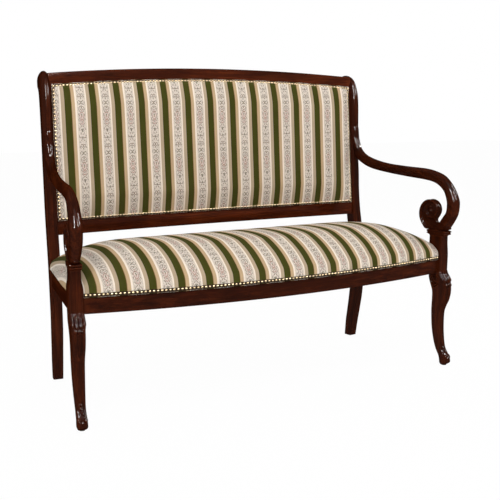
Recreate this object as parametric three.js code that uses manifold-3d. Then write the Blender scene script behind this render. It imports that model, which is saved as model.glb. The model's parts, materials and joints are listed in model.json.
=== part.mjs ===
// A small fixed settee with scrolled arms: a dark show-wood frame, a crowned seat over webbing,
// and an upholstered back panel, closed in with dome-headed nails.
// Millimetres. X runs along the settee, Y from the front to the back, Z up from the floor.

import * as THREE from "three";
import { mergeVertices } from "three/addons/utils/BufferGeometryUtils.js";
import Module from "manifold-3d";

const wasm = await Module();
wasm.setup();

// The frame in plan: two flat side frames that splay apart towards the front
const frontHalfWidth = 647; // middle of the settee to the middle of a front leg
const taper = 63; // how much nearer to the middle each rear post stands
const legSpacing = 480; // front leg line to rear post line, along Y

// Clearances
const woodGap = 0.3; // between fitted wooden faces
const clothGap = 0.5; // between cloth or padding and what it lies on
const overrun = 6; // how far a cutting tool passes the face that it cuts

// Seat rails
const railBottom = 321;
const railHeight = 60;
const sideRail = { thickness: 25, outerFace: 14, tenonLength: 16, tenonThickness: 10 };
const frontRail = { thickness: 32, bow: 70, endSetback: 26, tenonLength: 13, tenonThickness: 10 };
const rearRail = { thickness: 26, setback: 9, tenonLength: 12, tenonThickness: 9 };
const tenonShoulder = 10; // rail left standing above and below each tenon
const tenonRoot = 14; // how far a tenon reaches back into its rail

// Front leg with its arm support, in one piece from the floor to the collar above the rails
const leg = { supportRise: 67, depth: 50, width: 39.5, rings: 34, arcSteps: 2 };
// Each row: height, front edge, rear edge, width, as shares of the whole height, the depth and the width
const legShares = [
  [0, 0.1, -0.2, 0.62],
  [0.012, 0.25, -0.27, 0.74],
  [0.027, 0.33, -0.29, 0.78],
  [0.066, 0.23, -0.39, 0.75],
  [0.124, -0.13, -0.71, 0.72],
  [0.192, -0.29, -0.91, 0.78],
  [0.288, -0.39, -1.07, 0.86],
  [0.398, -0.39, -1.13, 0.92],
  [0.454, -0.23, -1.13, 0.94],
  [0.509, 0.01, -1.11, 0.97],
  [0.571, 0.13, -1.13, 1],
  [0.628, 0.11, -1.33, 1.03],
  [0.668, -0.01, -1.43, 1.06],
  [0.699, -0.23, -1.45, 1.05],
  [0.72, -0.33, -1.51, 1.03],
  [0.78, -0.34, -1.51, 1.03],
  [0.85, -0.35, -1.51, 1.03],
  [0.889, -0.37, -1.51, 1],
  [0.94, -0.35, -1.51, 0.8],
  [1, -0.35, -1.51, 0.78],
];
const legCornerShare = 0.45; // how much of the leg's half section is rounded at its corners

// Rear post: sabre leg and back stile in one piece, rolled over backwards at the top
// Its rise is measured above the ends of the back panel
const post = { rise: 42, depth: 44, width: 35.5, rings: 37, arcSteps: 2 };
// Each row: front edge and its height, rear edge and its height, width, roundness of the front
const postShares = [
  [0.28, 0, -0.48, 0, 0.91, 0.3],
  [0.52, 0.06, -0.35, 0.06, 0.96, 0.3],
  [0.72, 0.102, -0.19, 0.102, 0.97, 0.3],
  [0.97, 0.16, 0.02, 0.16, 1, 0.3],
  [1.11, 0.215, 0.15, 0.215, 1, 0.3],
  [1.13, 0.27, 0.09, 0.27, 1, 0.3],
  [1.11, 0.33, 0.02, 0.33, 1, 0.3],
  [1.01, 0.39, -0.1, 0.39, 1, 0.3],
  [0.74, 0.453, -0.35, 0.453, 1, 0.3],
  [0.51, 0.51, -0.58, 0.51, 1, 0.3],
  [0.36, 0.572, -0.75, 0.572, 1, 0.3],
  [0.3, 0.64, -0.83, 0.64, 1, 0.35],
  [0.29, 0.7, -0.89, 0.695, 1, 0.7],
  [0.31, 0.77, -0.95, 0.762, 1, 1],
  [0.32, 0.84, -1.03, 0.822, 1, 1],
  [0.28, 0.9, -1.15, 0.875, 1, 1],
  [0.14, 0.94, -1.25, 0.903, 1, 1],
  [-0.3, 0.982, -1.38, 0.925, 1, 1],
  [-1.05, 1, -1.62, 0.936, 1, 1],
  [-1.8, 0.996, -1.86, 0.943, 0.99, 1],
  [-2.18, 0.98, -2.1, 0.955, 0.93, 1],
];
const postRearShare = 0.3;

// Arm: from the post's front down, forward and round under itself into a scroll
// Its overhang is measured past the line of the front legs
const arm = { overhang: 40, rise: 397, width: 30, rings: 36, arcSteps: 3 };
// Each row: outer edge and inner edge as shares of the reach and the rise, then the width
const armShares = [
  [0.0325, 0.84, -0.015, 0.82, 0.9],
  [0.034, 0.79, -0.012, 0.76, 0.94],
  [0.042, 0.742, -0.006, 0.7, 0.98],
  [0.072, 0.662, 0.02, 0.6, 1],
  [0.132, 0.605, 0.08, 0.535, 1],
  [0.235, 0.566, 0.188, 0.485, 1],
  [0.363, 0.541, 0.35, 0.457, 1],
  [0.538, 0.529, 0.53, 0.438, 1],
  [0.711, 0.522, 0.71, 0.423, 1],
  [0.806, 0.502, 0.79, 0.406, 1.02],
  [0.88, 0.465, 0.843, 0.374, 1.1],
  [0.945, 0.383, 0.882, 0.328, 1.2],
  [0.985, 0.295, 0.902, 0.262, 1.25],
  [0.995, 0.24, 0.905, 0.22, 1.25],
  [0.987, 0.152, 0.897, 0.16, 1.2],
  [0.953, 0.07, 0.86, 0.092, 1.1],
  [0.92, 0.018, 0.835, 0.05, 1],
  [0.865, -0.03, 0.8, 0.03, 0.94],
];
// The scroll's outline, as shares of its own radius about its own middle
const scroll = { radius: 52, forward: 85, height: 516, width: 29, bevel: 5, bevelSteps: 2, points: 30 };
const scrollShares = [
  [1.75, -0.8],
  [0.9, -1.15],
  [0.1, -1.12],
  [-0.5, -0.92],
  [-0.79, -0.42],
  [-0.85, 0.08],
  [-0.75, 0.52],
  [-0.44, 0.88],
  [0.03, 1],
  [0.44, 0.93],
  [0.74, 0.68],
  [0.84, 0.36],
  [0.74, 0.04],
  [0.54, -0.26],
  [0.66, -0.46],
  [1, -0.34],
  [1.36, 0.2],
];

// Collar between the arm support and the arm
const collar = { height: 18, length: 85, width: 35.5, arcSteps: 1, cornerShare: 0.25 };
// Each row: height, length and width as shares of the collar's own
const collarShares = [
  [0, 0.62, 0.88],
  [0.2, 0.84, 0.95],
  [0.34, 0.98, 1],
  [0.52, 0.98, 1],
  [0.58, 0.9, 0.93],
  [0.84, 0.98, 0.97],
  [1, 0.98, 0.97],
];
const armDowel = { radius: 6, length: 52, chamfer: 1.5 };
const armScrew = { radius: 3, headRadius: 6, headDepth: 4, length: 62, sunk: 6, riseShare: 0.68 };

// Back frame, set in a raked plane whose origin is the foot of the back panel
const back = { foot: 525, setback: 8, rake: THREE.MathUtils.degToRad(3.8), hollow: 30, thickness: 26 };
const panel = { height: 433, arch: 25, crown: 17, cloth: 2.5, margin: 13, roll: 60 };
const lowerRail = { height: 45, lap: 24, tenonLength: 13, tenonThickness: 10 };
const crest = { height: 36, lap: 24, tenonLength: 14, tenonThickness: 12 };
const tackStile = { width: 34 };
const upright = { width: 36, thickness: 18, offset: 190 };
const backWebbing = { strap: 50, thickness: 2, bayCount: 6, rowCount: 3, inset: 21 };
const outsideBack = { thickness: 2.5, inset: 4 };

// Seat
const seat = { crown: 102, cloth: 2.5, frontRun: 217, rearRun: 300 };
const seatSideRun = { front: 169, rear: 150 }; // width of the roll along each side
const seatLap = { front: 12, side: 3, rear: 12 };
const seatWebbing = { strap: 50, thickness: 2, bayCount: 10, rowCount: 4, inset: 8 };
const hessian = { thickness: 1, inset: 10 };
const dustCover = { thickness: 1.2, inset: 9 };
const seatBrace = { width: 25, drop: 12, height: 40, offset: 205 };

// Corner blocks and their screws
const block = { height: 38, drop: 14, sideLength: 74, railLength: 78, legClearance: 11 };
const blockScrew = { radius: 2.5, headRadius: 5, headDepth: 3, length: 40, placeShare: 0.7 };

// Nail strips and foot glides
const nailStrip = { width: 11, thickness: 3, inset: 1 };
const glide = { radius: 9, thickness: 2 };

// Padding rises from each edge as 1 - (1 - distance / run) to the first power, rooted by the second
const frontSwellShares = [2.2, 2.1];
const rearSwellShares = [1.8, 3.2];
const sideSwellShares = [1, 2.8];
const panelSwellShares = [2.2, 2.2];

// Where along the half width and the depth the padded surfaces have their rows of points
const seatWidthShares = [1, 0.988, 0.962, 0.915, 0.83, 0.73, 0.63, 0.53, 0.425, 0.32, 0.215, 0.108, 0];
const seatDepthShares = [0, 0.014, 0.04, 0.085, 0.15, 0.25, 0.39, 0.54, 0.68, 0.8, 0.9, 0.955, 0.985, 1];
const panelWidthShares = [0.955, 0.915, 0.84, 0.74, 0.62, 0.5, 0.375, 0.25, 0.125, 0];
const panelHeightShares = [0.055, 0.1, 0.18, 0.32, 0.5, 0.68, 0.82, 0.9, 0.945];
const flatShare = 0.94; // of the panel's margin, kept flat for the nails

const railTop = railBottom + railHeight;
const legHeight = railTop + leg.supportRise;
const splay = Math.atan2(taper, legSpacing);
const sideLength = Math.hypot(taper, legSpacing);
const postHeight = back.foot + panel.height * Math.cos(back.rake) + post.rise;
const armReach = sideLength + arm.overhang;
const quarterTurn = Math.PI / 2;
const roundSides = 12;
const far = sideLength + frontHalfWidth; // longer than any cut needs

const finish = (color, roughness) => new THREE.MeshStandardMaterial({ color, roughness, metalness: 0 });
const mahogany = finish(0x4a2013, 0.28);
const mahoganyDark = finish(0x35160e, 0.3);
const softwood = finish(0xb08a5c, 0.7);
const jute = finish(0xa98a5e, 0.9);
const padding = finish(0xe6e0cf, 0.95);
const stripedCloth = finish(0xcabb9c, 0.85);
const blackCambric = finish(0x1b1a19, 0.95);
const felt = finish(0x4b443c, 0.95);
const brass = new THREE.MeshStandardMaterial({ color: 0xb8a06a, roughness: 0.35, metalness: 0.9 });
const steel = new THREE.MeshStandardMaterial({ color: 0x9a9a98, roughness: 0.4, metalness: 0.9 });

// Solids

// A closed geometry as a solid that can be cut and joined.
function toSolid(geometry) {
  const bare = new THREE.BufferGeometry();
  bare.setAttribute("position", geometry.getAttribute("position"));
  bare.setIndex(geometry.index);
  const merged = mergeVertices(bare);
  const vertProperties = new Float32Array(merged.getAttribute("position").array);
  const triVerts = new Uint32Array(merged.index.array);
  return new wasm.Manifold(new wasm.Mesh({ numProp: 3, vertProperties, triVerts }));
}

function toGeometry(solid) {
  const mesh = solid.getMesh();
  const geometry = new THREE.BufferGeometry();
  geometry.setAttribute("position", new THREE.BufferAttribute(mesh.vertProperties, 3));
  geometry.setIndex(new THREE.BufferAttribute(mesh.triVerts, 1));
  return geometry;
}

function boxGeometry(low, high) {
  const size = new THREE.Vector3().subVectors(high, low);
  const middle = new THREE.Vector3().addVectors(low, high).multiplyScalar(0.5);
  return new THREE.BoxGeometry(size.x, size.y, size.z).translate(middle.x, middle.y, middle.z);
}

const vec = (x, y, z) => new THREE.Vector3(x, y, z);
const box = (low, high) => toSolid(boxGeometry(low, high));

// A solid through closed rings of points, capped flat at both ends.
function loft(rings) {
  const count = rings[0].length;
  const positions = rings.flat().flatMap((point) => [point.x, point.y, point.z]);
  const index = [];
  for (let ring = 0; ring + 1 < rings.length; ring += 1) {
    for (let side = 0; side < count; side += 1) {
      const next = (side + 1) % count;
      const a = ring * count + side;
      const b = ring * count + next;
      index.push(a, b, b + count, a, b + count, a + count);
    }
  }
  const top = (rings.length - 1) * count;
  for (let side = 1; side + 1 < count; side += 1) {
    index.push(0, side + 1, side);
    index.push(top, top + side, top + side + 1);
  }
  const geometry = new THREE.BufferGeometry();
  geometry.setAttribute("position", new THREE.Float32BufferAttribute(positions, 3));
  geometry.setIndex(index);
  return geometry;
}

// A closed sheet or pad between two surfaces that are given on the same grid of points.
function gridSolid(columns, rows, upper, lower) {
  const positions = [];
  for (const surface of [upper, lower]) {
    for (let row = 0; row < rows; row += 1) {
      for (let column = 0; column < columns; column += 1) {
        const point = surface(column, row);
        positions.push(point.x, point.y, point.z);
      }
    }
  }
  const at = (layer, column, row) => layer * columns * rows + row * columns + column;
  const index = [];
  const quad = (a, b, c, d) => index.push(a, b, c, a, c, d);
  for (let row = 0; row + 1 < rows; row += 1) {
    for (let column = 0; column + 1 < columns; column += 1) {
      const right = column + 1;
      const above = row + 1;
      quad(at(0, column, row), at(0, right, row), at(0, right, above), at(0, column, above));
      quad(at(1, column, row), at(1, column, above), at(1, right, above), at(1, right, row));
    }
  }
  const lastRow = rows - 1;
  const lastColumn = columns - 1;
  for (let column = 0; column < lastColumn; column += 1) {
    const right = column + 1;
    quad(at(1, column, 0), at(1, right, 0), at(0, right, 0), at(0, column, 0));
    quad(at(0, column, lastRow), at(0, right, lastRow), at(1, right, lastRow), at(1, column, lastRow));
  }
  for (let row = 0; row < lastRow; row += 1) {
    const above = row + 1;
    quad(at(0, 0, row), at(0, 0, above), at(1, 0, above), at(1, 0, row));
    quad(at(1, lastColumn, row), at(1, lastColumn, above), at(0, lastColumn, above), at(0, lastColumn, row));
  }
  const geometry = new THREE.BufferGeometry();
  geometry.setAttribute("position", new THREE.Float32BufferAttribute(positions, 3));
  geometry.setIndex(index);
  return geometry;
}

// A unit section, two across each way, whose front and rear corners are rounded by their own shares.
function unitSection(frontShare, rearShare, arcSteps) {
  const corners = [
    [1, 1, frontShare, 0],
    [-1, 1, rearShare, 1],
    [-1, -1, rearShare, 2],
    [1, -1, frontShare, 3],
  ];
  return corners.flatMap(([along, across, share, turns]) =>
    Array.from({ length: arcSteps + 1 }, (_, step) => {
      const angle = (turns + step / arcSteps) * quarterTurn;
      return [along * (1 - share) + Math.cos(angle) * share, across * (1 - share) + Math.sin(angle) * share];
    }),
  );
}

// A row of a table of shares at any place along it, on a smooth curve through all its rows.
function tableCurve(rows) {
  return (place) => {
    const scaled = place * (rows.length - 1);
    const index = Math.min(Math.floor(scaled), rows.length - 2);
    const before = rows[Math.max(index - 1, 0)];
    const from = rows[index];
    const to = rows[index + 1];
    const after = rows[Math.min(index + 2, rows.length - 1)];
    const t = scaled - index;
    return from.map((value, column) => {
      const leave = (to[column] - before[column]) / 2;
      const arrive = (after[column] - value) / 2;
      const rise = to[column] - value;
      return value + t * (leave + t * (3 * rise - 2 * leave - arrive + t * (leave + arrive - 2 * rise)));
    });
  };
}

// A ring about a line between two edge points in a side frame's plane, grown all round by a margin.
function edgeRing(front, rear, halfWidth, section, margin) {
  const middle = new THREE.Vector3().addVectors(front, rear).multiplyScalar(0.5);
  const reach = new THREE.Vector3().subVectors(front, middle);
  reach.setLength(reach.length() + margin);
  return section.map(([along, across]) =>
    middle
      .clone()
      .addScaledVector(reach, along)
      .add(vec(0, across * (halfWidth + margin), 0)),
  );
}

// Side frames: x forward from the front leg line, y outwards, z up

function legGeometry(margin) {
  const rowAt = tableCurve(legShares);
  const section = unitSection(legCornerShare, legCornerShare, leg.arcSteps);
  const rings = Array.from({ length: leg.rings }, (_, ring) => {
    const [height, front, rear, width] = rowAt(ring / (leg.rings - 1));
    const z = height * legHeight;
    const halfWidth = (width * leg.width) / 2;
    return edgeRing(vec(front * leg.depth, 0, z), vec(rear * leg.depth, 0, z), halfWidth, section, margin);
  });
  return loft(rings);
}

function postGeometry(margin) {
  const rowAt = tableCurve(postShares);
  const rings = Array.from({ length: post.rings }, (_, ring) => {
    const [front, frontHeight, rear, rearHeight, width, round] = rowAt(ring / (post.rings - 1));
    const frontPoint = vec(front * post.depth - sideLength, 0, frontHeight * postHeight);
    const rearPoint = vec(rear * post.depth - sideLength, 0, rearHeight * postHeight);
    const section = unitSection(Math.min(round, 1), postRearShare, post.arcSteps);
    return edgeRing(frontPoint, rearPoint, (width * post.width) / 2, section, margin);
  });
  return loft(rings);
}

// A table's row at a share of the height, where the column of heights rises steadily.
function rowAtHeight(rows, column, share) {
  const next = rows.findIndex((row) => row[column] >= share);
  const from = rows[Math.max(next - 1, 0)];
  const to = rows[next];
  const t = next > 0 ? (share - from[column]) / (to[column] - from[column]) : 0;
  return from.map((value, place) => value + t * (to[place] - value));
}

const postFrontAt = (height) => rowAtHeight(postShares, 1, height / postHeight)[0] * post.depth - sideLength;

const railMiddle = (railBottom + railTop) / 2;
const [, , legRearShare, legRailWidthShare] = rowAtHeight(legShares, 0, railMiddle / legHeight);
const legRear = legRearShare * leg.depth;
const legInner = (-legRailWidthShare * leg.width) / 2;
const [, legTopFrontShare, legTopRearShare] = legShares.at(-1);
const legTopMiddle = ((legTopFrontShare + legTopRearShare) * leg.depth) / 2;
const postFront = postFrontAt(railMiddle);
const postInner = -post.width / 2;
const collarBottom = legHeight + woodGap;
const collarTop = collarBottom + collar.height;
const armBottom = collarTop + woodGap;

// Frames and the ways between them

const sideMatrix = new THREE.Matrix4().makeRotationZ(splay - quarterTurn).setPosition(frontHalfWidth, 0, 0);
const mirrorMatrix = new THREE.Matrix4().makeScale(-1, 1, 1);
const sideMatrices = [sideMatrix, mirrorMatrix.clone().multiply(sideMatrix)];
const backFront = (back.setback - postFrontAt(back.foot)) * Math.cos(splay);
const backMatrix = new THREE.Matrix4().makeRotationX(-back.rake).setPosition(0, backFront, back.foot);
const backInverse = backMatrix.clone().invert();
const worldMatrix = new THREE.Matrix4();

// The same solid placed in another frame; a mirroring matrix turns each face round again.
function placed(solid, matrix) {
  const geometry = toGeometry(solid).applyMatrix4(matrix);
  if (matrix.determinant() < 0) {
    const index = geometry.index.array;
    for (let corner = 0; corner < index.length; corner += 3) {
      [index[corner + 1], index[corner + 2]] = [index[corner + 2], index[corner + 1]];
    }
  }
  return toSolid(geometry);
}

// Half a width at a distance back, for a face that runs parallel to the side frames.
const sideX = (y, across) => frontHalfWidth + across / Math.cos(splay) - y * Math.tan(splay);

// A point of the plan in the right side frame's own x and y.
function toSide(x, y) {
  const outward = x - frontHalfWidth;
  const along = outward * Math.sin(splay) - y * Math.cos(splay);
  const across = outward * Math.cos(splay) + y * Math.sin(splay);
  return [along, across];
}

function prism(outline, low, high, holes = []) {
  const shape = new THREE.Shape(outline.map(([x, y]) => new THREE.Vector2(x, y)));
  shape.holes = holes.map((hole) => new THREE.Path(hole.map(([x, y]) => new THREE.Vector2(x, y))));
  return new THREE.ExtrudeGeometry(shape, { depth: high - low, bevelEnabled: false }).translate(0, 0, low);
}

// Wooden parts of the side frames

const legSolid = (margin) => toSolid(legGeometry(margin));
const postSolid = (margin) => toSolid(postGeometry(margin));
const outwards = box(vec(-far, 0, -far), vec(far, far, far));
const beyondLeg = legSolid(woodGap).add(outwards);
const beyondPost = postSolid(woodGap).add(outwards);

// A tenon, or with a margin its mortise, given by its corners in the side frame.
const tenonBox = ([low, high], margin) =>
  box(low.clone().subScalar(margin), high.clone().addScalar(margin));

// Corners of a tenon that enters a side frame from its inner face.
function crossTenon(along, thickness, innerFace, length, low, high) {
  const start = innerFace - tenonRoot;
  return [vec(along - thickness / 2, start, low), vec(along + thickness / 2, innerFace + length, high)];
}

const tenonLow = railBottom + tenonShoulder;
const tenonHigh = railTop - tenonShoulder;
const sideRailMiddle = sideRail.outerFace - sideRail.thickness / 2;
const sideTenonInner = sideRailMiddle - sideRail.tenonThickness / 2;
const sideTenonOuter = sideRailMiddle + sideRail.tenonThickness / 2;
const sideTenon = [
  vec(postFront - sideRail.tenonLength, sideTenonInner, tenonLow),
  vec(legRear + sideRail.tenonLength, sideTenonOuter, tenonHigh),
];

const rearRailFront = rearRail.setback - postFront * Math.cos(splay);
const frontRailAlong = -(frontRail.endSetback + frontRail.thickness / 2) / Math.cos(splay);
const rearRailAlong = -(rearRailFront + rearRail.thickness / 2) / Math.cos(splay);
const frontTenon = crossTenon(
  frontRailAlong, frontRail.tenonThickness, legInner, frontRail.tenonLength, tenonLow, tenonHigh,
);
const rearTenon = crossTenon(
  rearRailAlong, rearRail.tenonThickness, postInner, rearRail.tenonLength, tenonLow, tenonHigh,
);

// A back rail's tenon, upright in the post, about the middle of the raked rail's end.
function backTenon(low, high, { tenonThickness, tenonLength }) {
  const middle = vec(0, back.thickness / 2, (low + high) / 2).applyMatrix4(backMatrix);
  const along = -middle.y / Math.cos(splay);
  const half = (high - low) / 2 - tenonShoulder;
  return crossTenon(along, tenonThickness, postInner, tenonLength, middle.z - half, middle.z + half);
}

const lowerRailTop = lowerRail.lap;
const crestBottom = panel.height - crest.lap;
const crestTop = panel.height + crest.height;
const lowerTenon = backTenon(-lowerRail.height, lowerRailTop, lowerRail);
const crestTenon = backTenon(crestBottom, crestTop, crest);

// A dowel up the middle of the collar, grown by a margin for its hole.
function dowelSolid(margin) {
  const radius = armDowel.radius + margin;
  const half = armDowel.length / 2 + margin;
  const inner = radius - armDowel.chamfer;
  const bend = half - armDowel.chamfer;
  const outline = [[0, -half], [inner, -half], [radius, -bend], [radius, bend], [inner, half], [0, half]];
  const points = outline.map(([x, y]) => new THREE.Vector2(x, y));
  const turned = new THREE.LatheGeometry(points, roundSides).rotateX(quarterTurn);
  return toSolid(turned.translate(legTopMiddle, 0, (collarBottom + collarTop) / 2));
}

// A wood screw along +X from the top of its head, grown by a margin for its hole.
function screwGeometry({ radius, headRadius, headDepth, length }, margin, start) {
  const shank = radius + margin;
  const head = headRadius + margin;
  const bore = margin > 0 ? overrun * 2 : 0;
  const outline = [
    [0, -bore],
    [head, -bore],
    [head, headDepth / 2 + margin],
    [shank, headDepth + margin],
    [shank, length - radius],
    [0, length + margin],
  ];
  const points = outline.map(([x, y]) => new THREE.Vector2(x, y));
  const turned = new THREE.LatheGeometry(points, roundSides);
  return turned.rotateZ(-quarterTurn).translate(start.x, start.y, start.z);
}

const armScrewHeight = collarTop + armScrew.riseShare * arm.rise;
const armScrewStart = vec(postFrontAt(armScrewHeight) - post.depth + armScrew.sunk, 0, armScrewHeight);
const armScrewShape = screwGeometry(armScrew, 0, armScrewStart);
const armScrewHole = toSolid(screwGeometry(armScrew, woodGap, armScrewStart));

function frontLegSolid() {
  return legSolid(0)
    .subtract(tenonBox(frontTenon, woodGap))
    .subtract(tenonBox(sideTenon, woodGap))
    .subtract(dowelSolid(woodGap));
}

function rearPostSolid() {
  return [rearTenon, sideTenon, lowerTenon, crestTenon]
    .reduce((piece, tenon) => piece.subtract(tenonBox(tenon, woodGap)), postSolid(0))
    .subtract(armScrewHole);
}

function sideRailSolid() {
  const plank = box(
    vec(postFront - overrun, sideRail.outerFace - sideRail.thickness, railBottom),
    vec(legRear + overrun, sideRail.outerFace, railTop),
  );
  const trimmed = plank.subtract(legSolid(woodGap)).subtract(postSolid(woodGap)).add(tenonBox(sideTenon, 0));
  return blockScrewHoles.reduce((piece, hole) => piece.subtract(hole), trimmed);
}

// Arm and collar

function armLoft() {
  const rowAt = tableCurve(armShares);
  const section = unitSection(1, 1, arm.arcSteps);
  const rings = Array.from({ length: arm.rings }, (_, ring) => {
    const [outer, outerRise, inner, innerRise, width] = rowAt(ring / (arm.rings - 1));
    const outerPoint = vec(outer * armReach - sideLength, 0, collarTop + outerRise * arm.rise);
    const innerPoint = vec(inner * armReach - sideLength, 0, collarTop + innerRise * arm.rise);
    return edgeRing(outerPoint, innerPoint, (width * arm.width) / 2, section, 0);
  });
  return toSolid(loft(rings.reverse()));
}

function scrollSolid() {
  const curve = new THREE.SplineCurve(scrollShares.map(([x, y]) => new THREE.Vector2(x, y)));
  const points = curve.getPoints(scroll.points).map((point) => point.multiplyScalar(scroll.radius));
  const geometry = new THREE.ExtrudeGeometry(new THREE.Shape(points), {
    depth: scroll.width - 2 * scroll.bevel,
    bevelThickness: scroll.bevel,
    bevelSize: scroll.bevel,
    bevelOffset: -scroll.bevel,
    bevelSegments: scroll.bevelSteps,
  });
  geometry.translate(0, 0, scroll.bevel - scroll.width / 2).rotateX(quarterTurn);
  return toSolid(geometry.translate(-scroll.forward, 0, scroll.height));
}

function armSolid() {
  const below = box(vec(-far, -far, -far), vec(far, far, armBottom));
  return armLoft()
    .add(scrollSolid())
    .subtract(postSolid(woodGap))
    .subtract(below)
    .subtract(dowelSolid(woodGap))
    .subtract(armScrewHole);
}

function collarSolid() {
  const section = unitSection(collar.cornerShare, collar.cornerShare, collar.arcSteps);
  const rings = collarShares.map(([height, length, width]) =>
    section.map(([along, across]) =>
      vec(
        legTopMiddle + (along * length * collar.length) / 2,
        (across * width * collar.width) / 2,
        collarBottom + height * collar.height,
      ),
    ),
  );
  return toSolid(loft(rings)).subtract(dowelSolid(woodGap));
}

// Seat rails across the settee

const frontRailHalf = sideX(frontRail.endSetback, legInner);
const frontRailFace = (x) => frontRail.endSetback - frontRail.bow * (1 - (x / frontRailHalf) ** 2);
const frontRailRear = (x) => frontRailFace(x) + frontRail.thickness;
const widthStations = [...seatWidthShares.map((share) => -share), ...seatWidthShares.toReversed().slice(1)];

// A board through even stations along X, between two faces and two edges that may follow X.
function board(half, faceAt, rearAt, lowAt, highAt) {
  const xs = widthStations.map((share) => share * half);
  const edge = (x, row) => (row > 0 ? highAt(x) : lowAt(x));
  return gridSolid(
    xs.length,
    2,
    (column, row) => vec(xs[column], faceAt(xs[column]), edge(xs[column], row)),
    (column, row) => vec(xs[column], rearAt(xs[column]), edge(xs[column], row)),
  );
}

// Trims a board to the side frames and gives it a tenon at each end.
function fitBetweenSides(solid, cutter, tenon, frameInverse) {
  return sideMatrices.reduce((piece, matrix) => {
    const local = frameInverse.clone().multiply(matrix);
    return piece.subtract(placed(cutter, local)).add(placed(tenonBox(tenon, 0), local));
  }, solid);
}

function frontRailSolid() {
  const long = board(frontRailHalf + overrun, frontRailFace, frontRailRear, () => railBottom, () => railTop);
  return fitBetweenSides(toSolid(long), beyondLeg, frontTenon, worldMatrix);
}

function rearRailSolid() {
  const half = sideX(rearRailFront, postInner) + overrun;
  const rearFace = rearRailFront + rearRail.thickness;
  const long = box(vec(-half, rearRailFront, railBottom), vec(half, rearFace, railTop));
  return fitBetweenSides(long, beyondPost, rearTenon, worldMatrix);
}

// Back frame: x along, y to the rear, z up the raked back

const backHalf = sideX(backFront, postInner);
const hollowAt = (x) => back.hollow * (1 - (x / backHalf) ** 2);
const archAt = (x) => panel.arch * (1 - (x / backHalf) ** 2);

// Half the clear width between the posts at a place in the raked back.
function panelHalf(y, z) {
  const place = vec(0, y, z).applyMatrix4(backMatrix);
  return sideX(place.y, postInner - woodGap);
}

function backBoard(half, front, rear, lowAt, highAt) {
  return board(half, (x) => hollowAt(x) + front, (x) => hollowAt(x) + rear, lowAt, highAt);
}

function lowerRailSolid() {
  const long = backBoard(backHalf + overrun, 0, back.thickness, () => -lowerRail.height, () => lowerRailTop);
  return fitBetweenSides(toSolid(long), beyondPost, lowerTenon, backInverse);
}

function crestSolid() {
  const low = (x) => crestBottom + archAt(x);
  const high = (x) => crestTop + archAt(x);
  const long = backBoard(backHalf + overrun, 0, back.thickness, low, high);
  return fitBetweenSides(toSolid(long), beyondPost, crestTenon, backInverse);
}

// A flat piece of the back between the two rails, from one distance off the post to another.
function betweenRails(nearEdge, farEdge, front, rear) {
  const low = lowerRailTop + woodGap;
  const corner = (depth) => (column, row) => {
    const high = crestBottom - woodGap;
    const x = (column > 0 ? nearEdge : farEdge)(depth, row > 0 ? high : low);
    return vec(x, hollowAt(x) + depth, row > 0 ? high + archAt(x) : low);
  };
  return gridSolid(2, 2, corner(front), corner(rear));
}

function tackStileGeometry() {
  const outer = (y, z) => panelHalf(y, z);
  const inner = (y, z) => panelHalf(y, z) - tackStile.width;
  return betweenRails(outer, inner, 0, back.thickness);
}

function uprightGeometry() {
  const right = () => upright.offset + upright.width / 2;
  const left = () => upright.offset - upright.width / 2;
  const front = back.thickness - upright.thickness;
  return betweenRails(right, left, front, back.thickness);
}

const backStations = widthStations.filter((_, index) => index % 2 === 0);

// A sheet over the whole back panel, from one depth to another, drawn in from the panel's edge.
function backSheet(inset, front, rear) {
  const corner = (depth) => (column, row) => {
    const share = backStations[column];
    const high = panel.height - inset;
    const x = share * (panelHalf(rear, row > 0 ? high : inset) - inset);
    return vec(x, hollowAt(x) + depth, row > 0 ? high + archAt(x) : inset);
  };
  return gridSolid(backStations.length, 2, corner(front), corner(rear));
}

// Even bays between straps: the low and high edge of each bay, as shares of the whole.
function bayShares(count, strap, length) {
  const strapShare = strap / length;
  const bayShare = (1 - strapShare * (count + 1)) / count;
  return Array.from({ length: count }, (_, bay) => {
    const low = strapShare + bay * (bayShare + strapShare);
    return [low, low + bayShare];
  });
}

function backWebbingSolid() {
  const rear = -woodGap;
  const sheet = toSolid(backSheet(backWebbing.inset, rear - backWebbing.thickness, rear));
  const half = panelHalf(0, panel.height) - backWebbing.inset;
  const length = panel.height - 2 * backWebbing.inset;
  const across = bayShares(backWebbing.bayCount, backWebbing.strap, 2 * half);
  const up = bayShares(backWebbing.rowCount, backWebbing.strap, length);
  const holes = across.flatMap(([left, right]) =>
    up.map(([low, high]) =>
      box(
        vec((2 * left - 1) * half, -overrun, backWebbing.inset + low * length),
        vec((2 * right - 1) * half, back.hollow + overrun, backWebbing.inset + high * length),
      ),
    ),
  );
  return holes.reduce((net, hole) => net.subtract(hole), sheet);
}

// Rise of a padded surface from its edge: steep at first, then level.
function swell(distance, run, [power, root]) {
  const left = 1 - Math.min(Math.max(distance / run, 0), 1);
  return (1 - left ** power) ** (1 / root);
}

const flatMargin = flatShare * panel.margin;
const panelAcross = [1, 1 - flatMargin / backHalf, ...panelWidthShares];
const panelColumns = [...panelAcross.map((share) => -share), ...panelAcross.toReversed().slice(1)];
const marginUp = flatMargin / panel.height;
const panelRows = [0, marginUp, ...panelHeightShares, 1 - marginUp, 1];

// A point of the back panel's padded face, lowered below the cloth's outside by a depth.
function panelPoint(widthShare, heightShare, depth) {
  const level = heightShare * panel.height;
  const half = panelHalf(0, level);
  const x = widthShare * half;
  const height = panel.height + archAt(x);
  const sideRun = (1 - Math.abs(widthShare)) * half - panel.margin;
  const endRun = Math.min(heightShare, 1 - heightShare) * height - panel.margin;
  const across = swell(sideRun, panel.roll, panelSwellShares);
  const along = swell(endRun, panel.roll, panelSwellShares);
  const y = hollowAt(x) - clothGap - panel.cloth - panel.crown * across * along + depth;
  return vec(x, y, heightShare * height);
}

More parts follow.
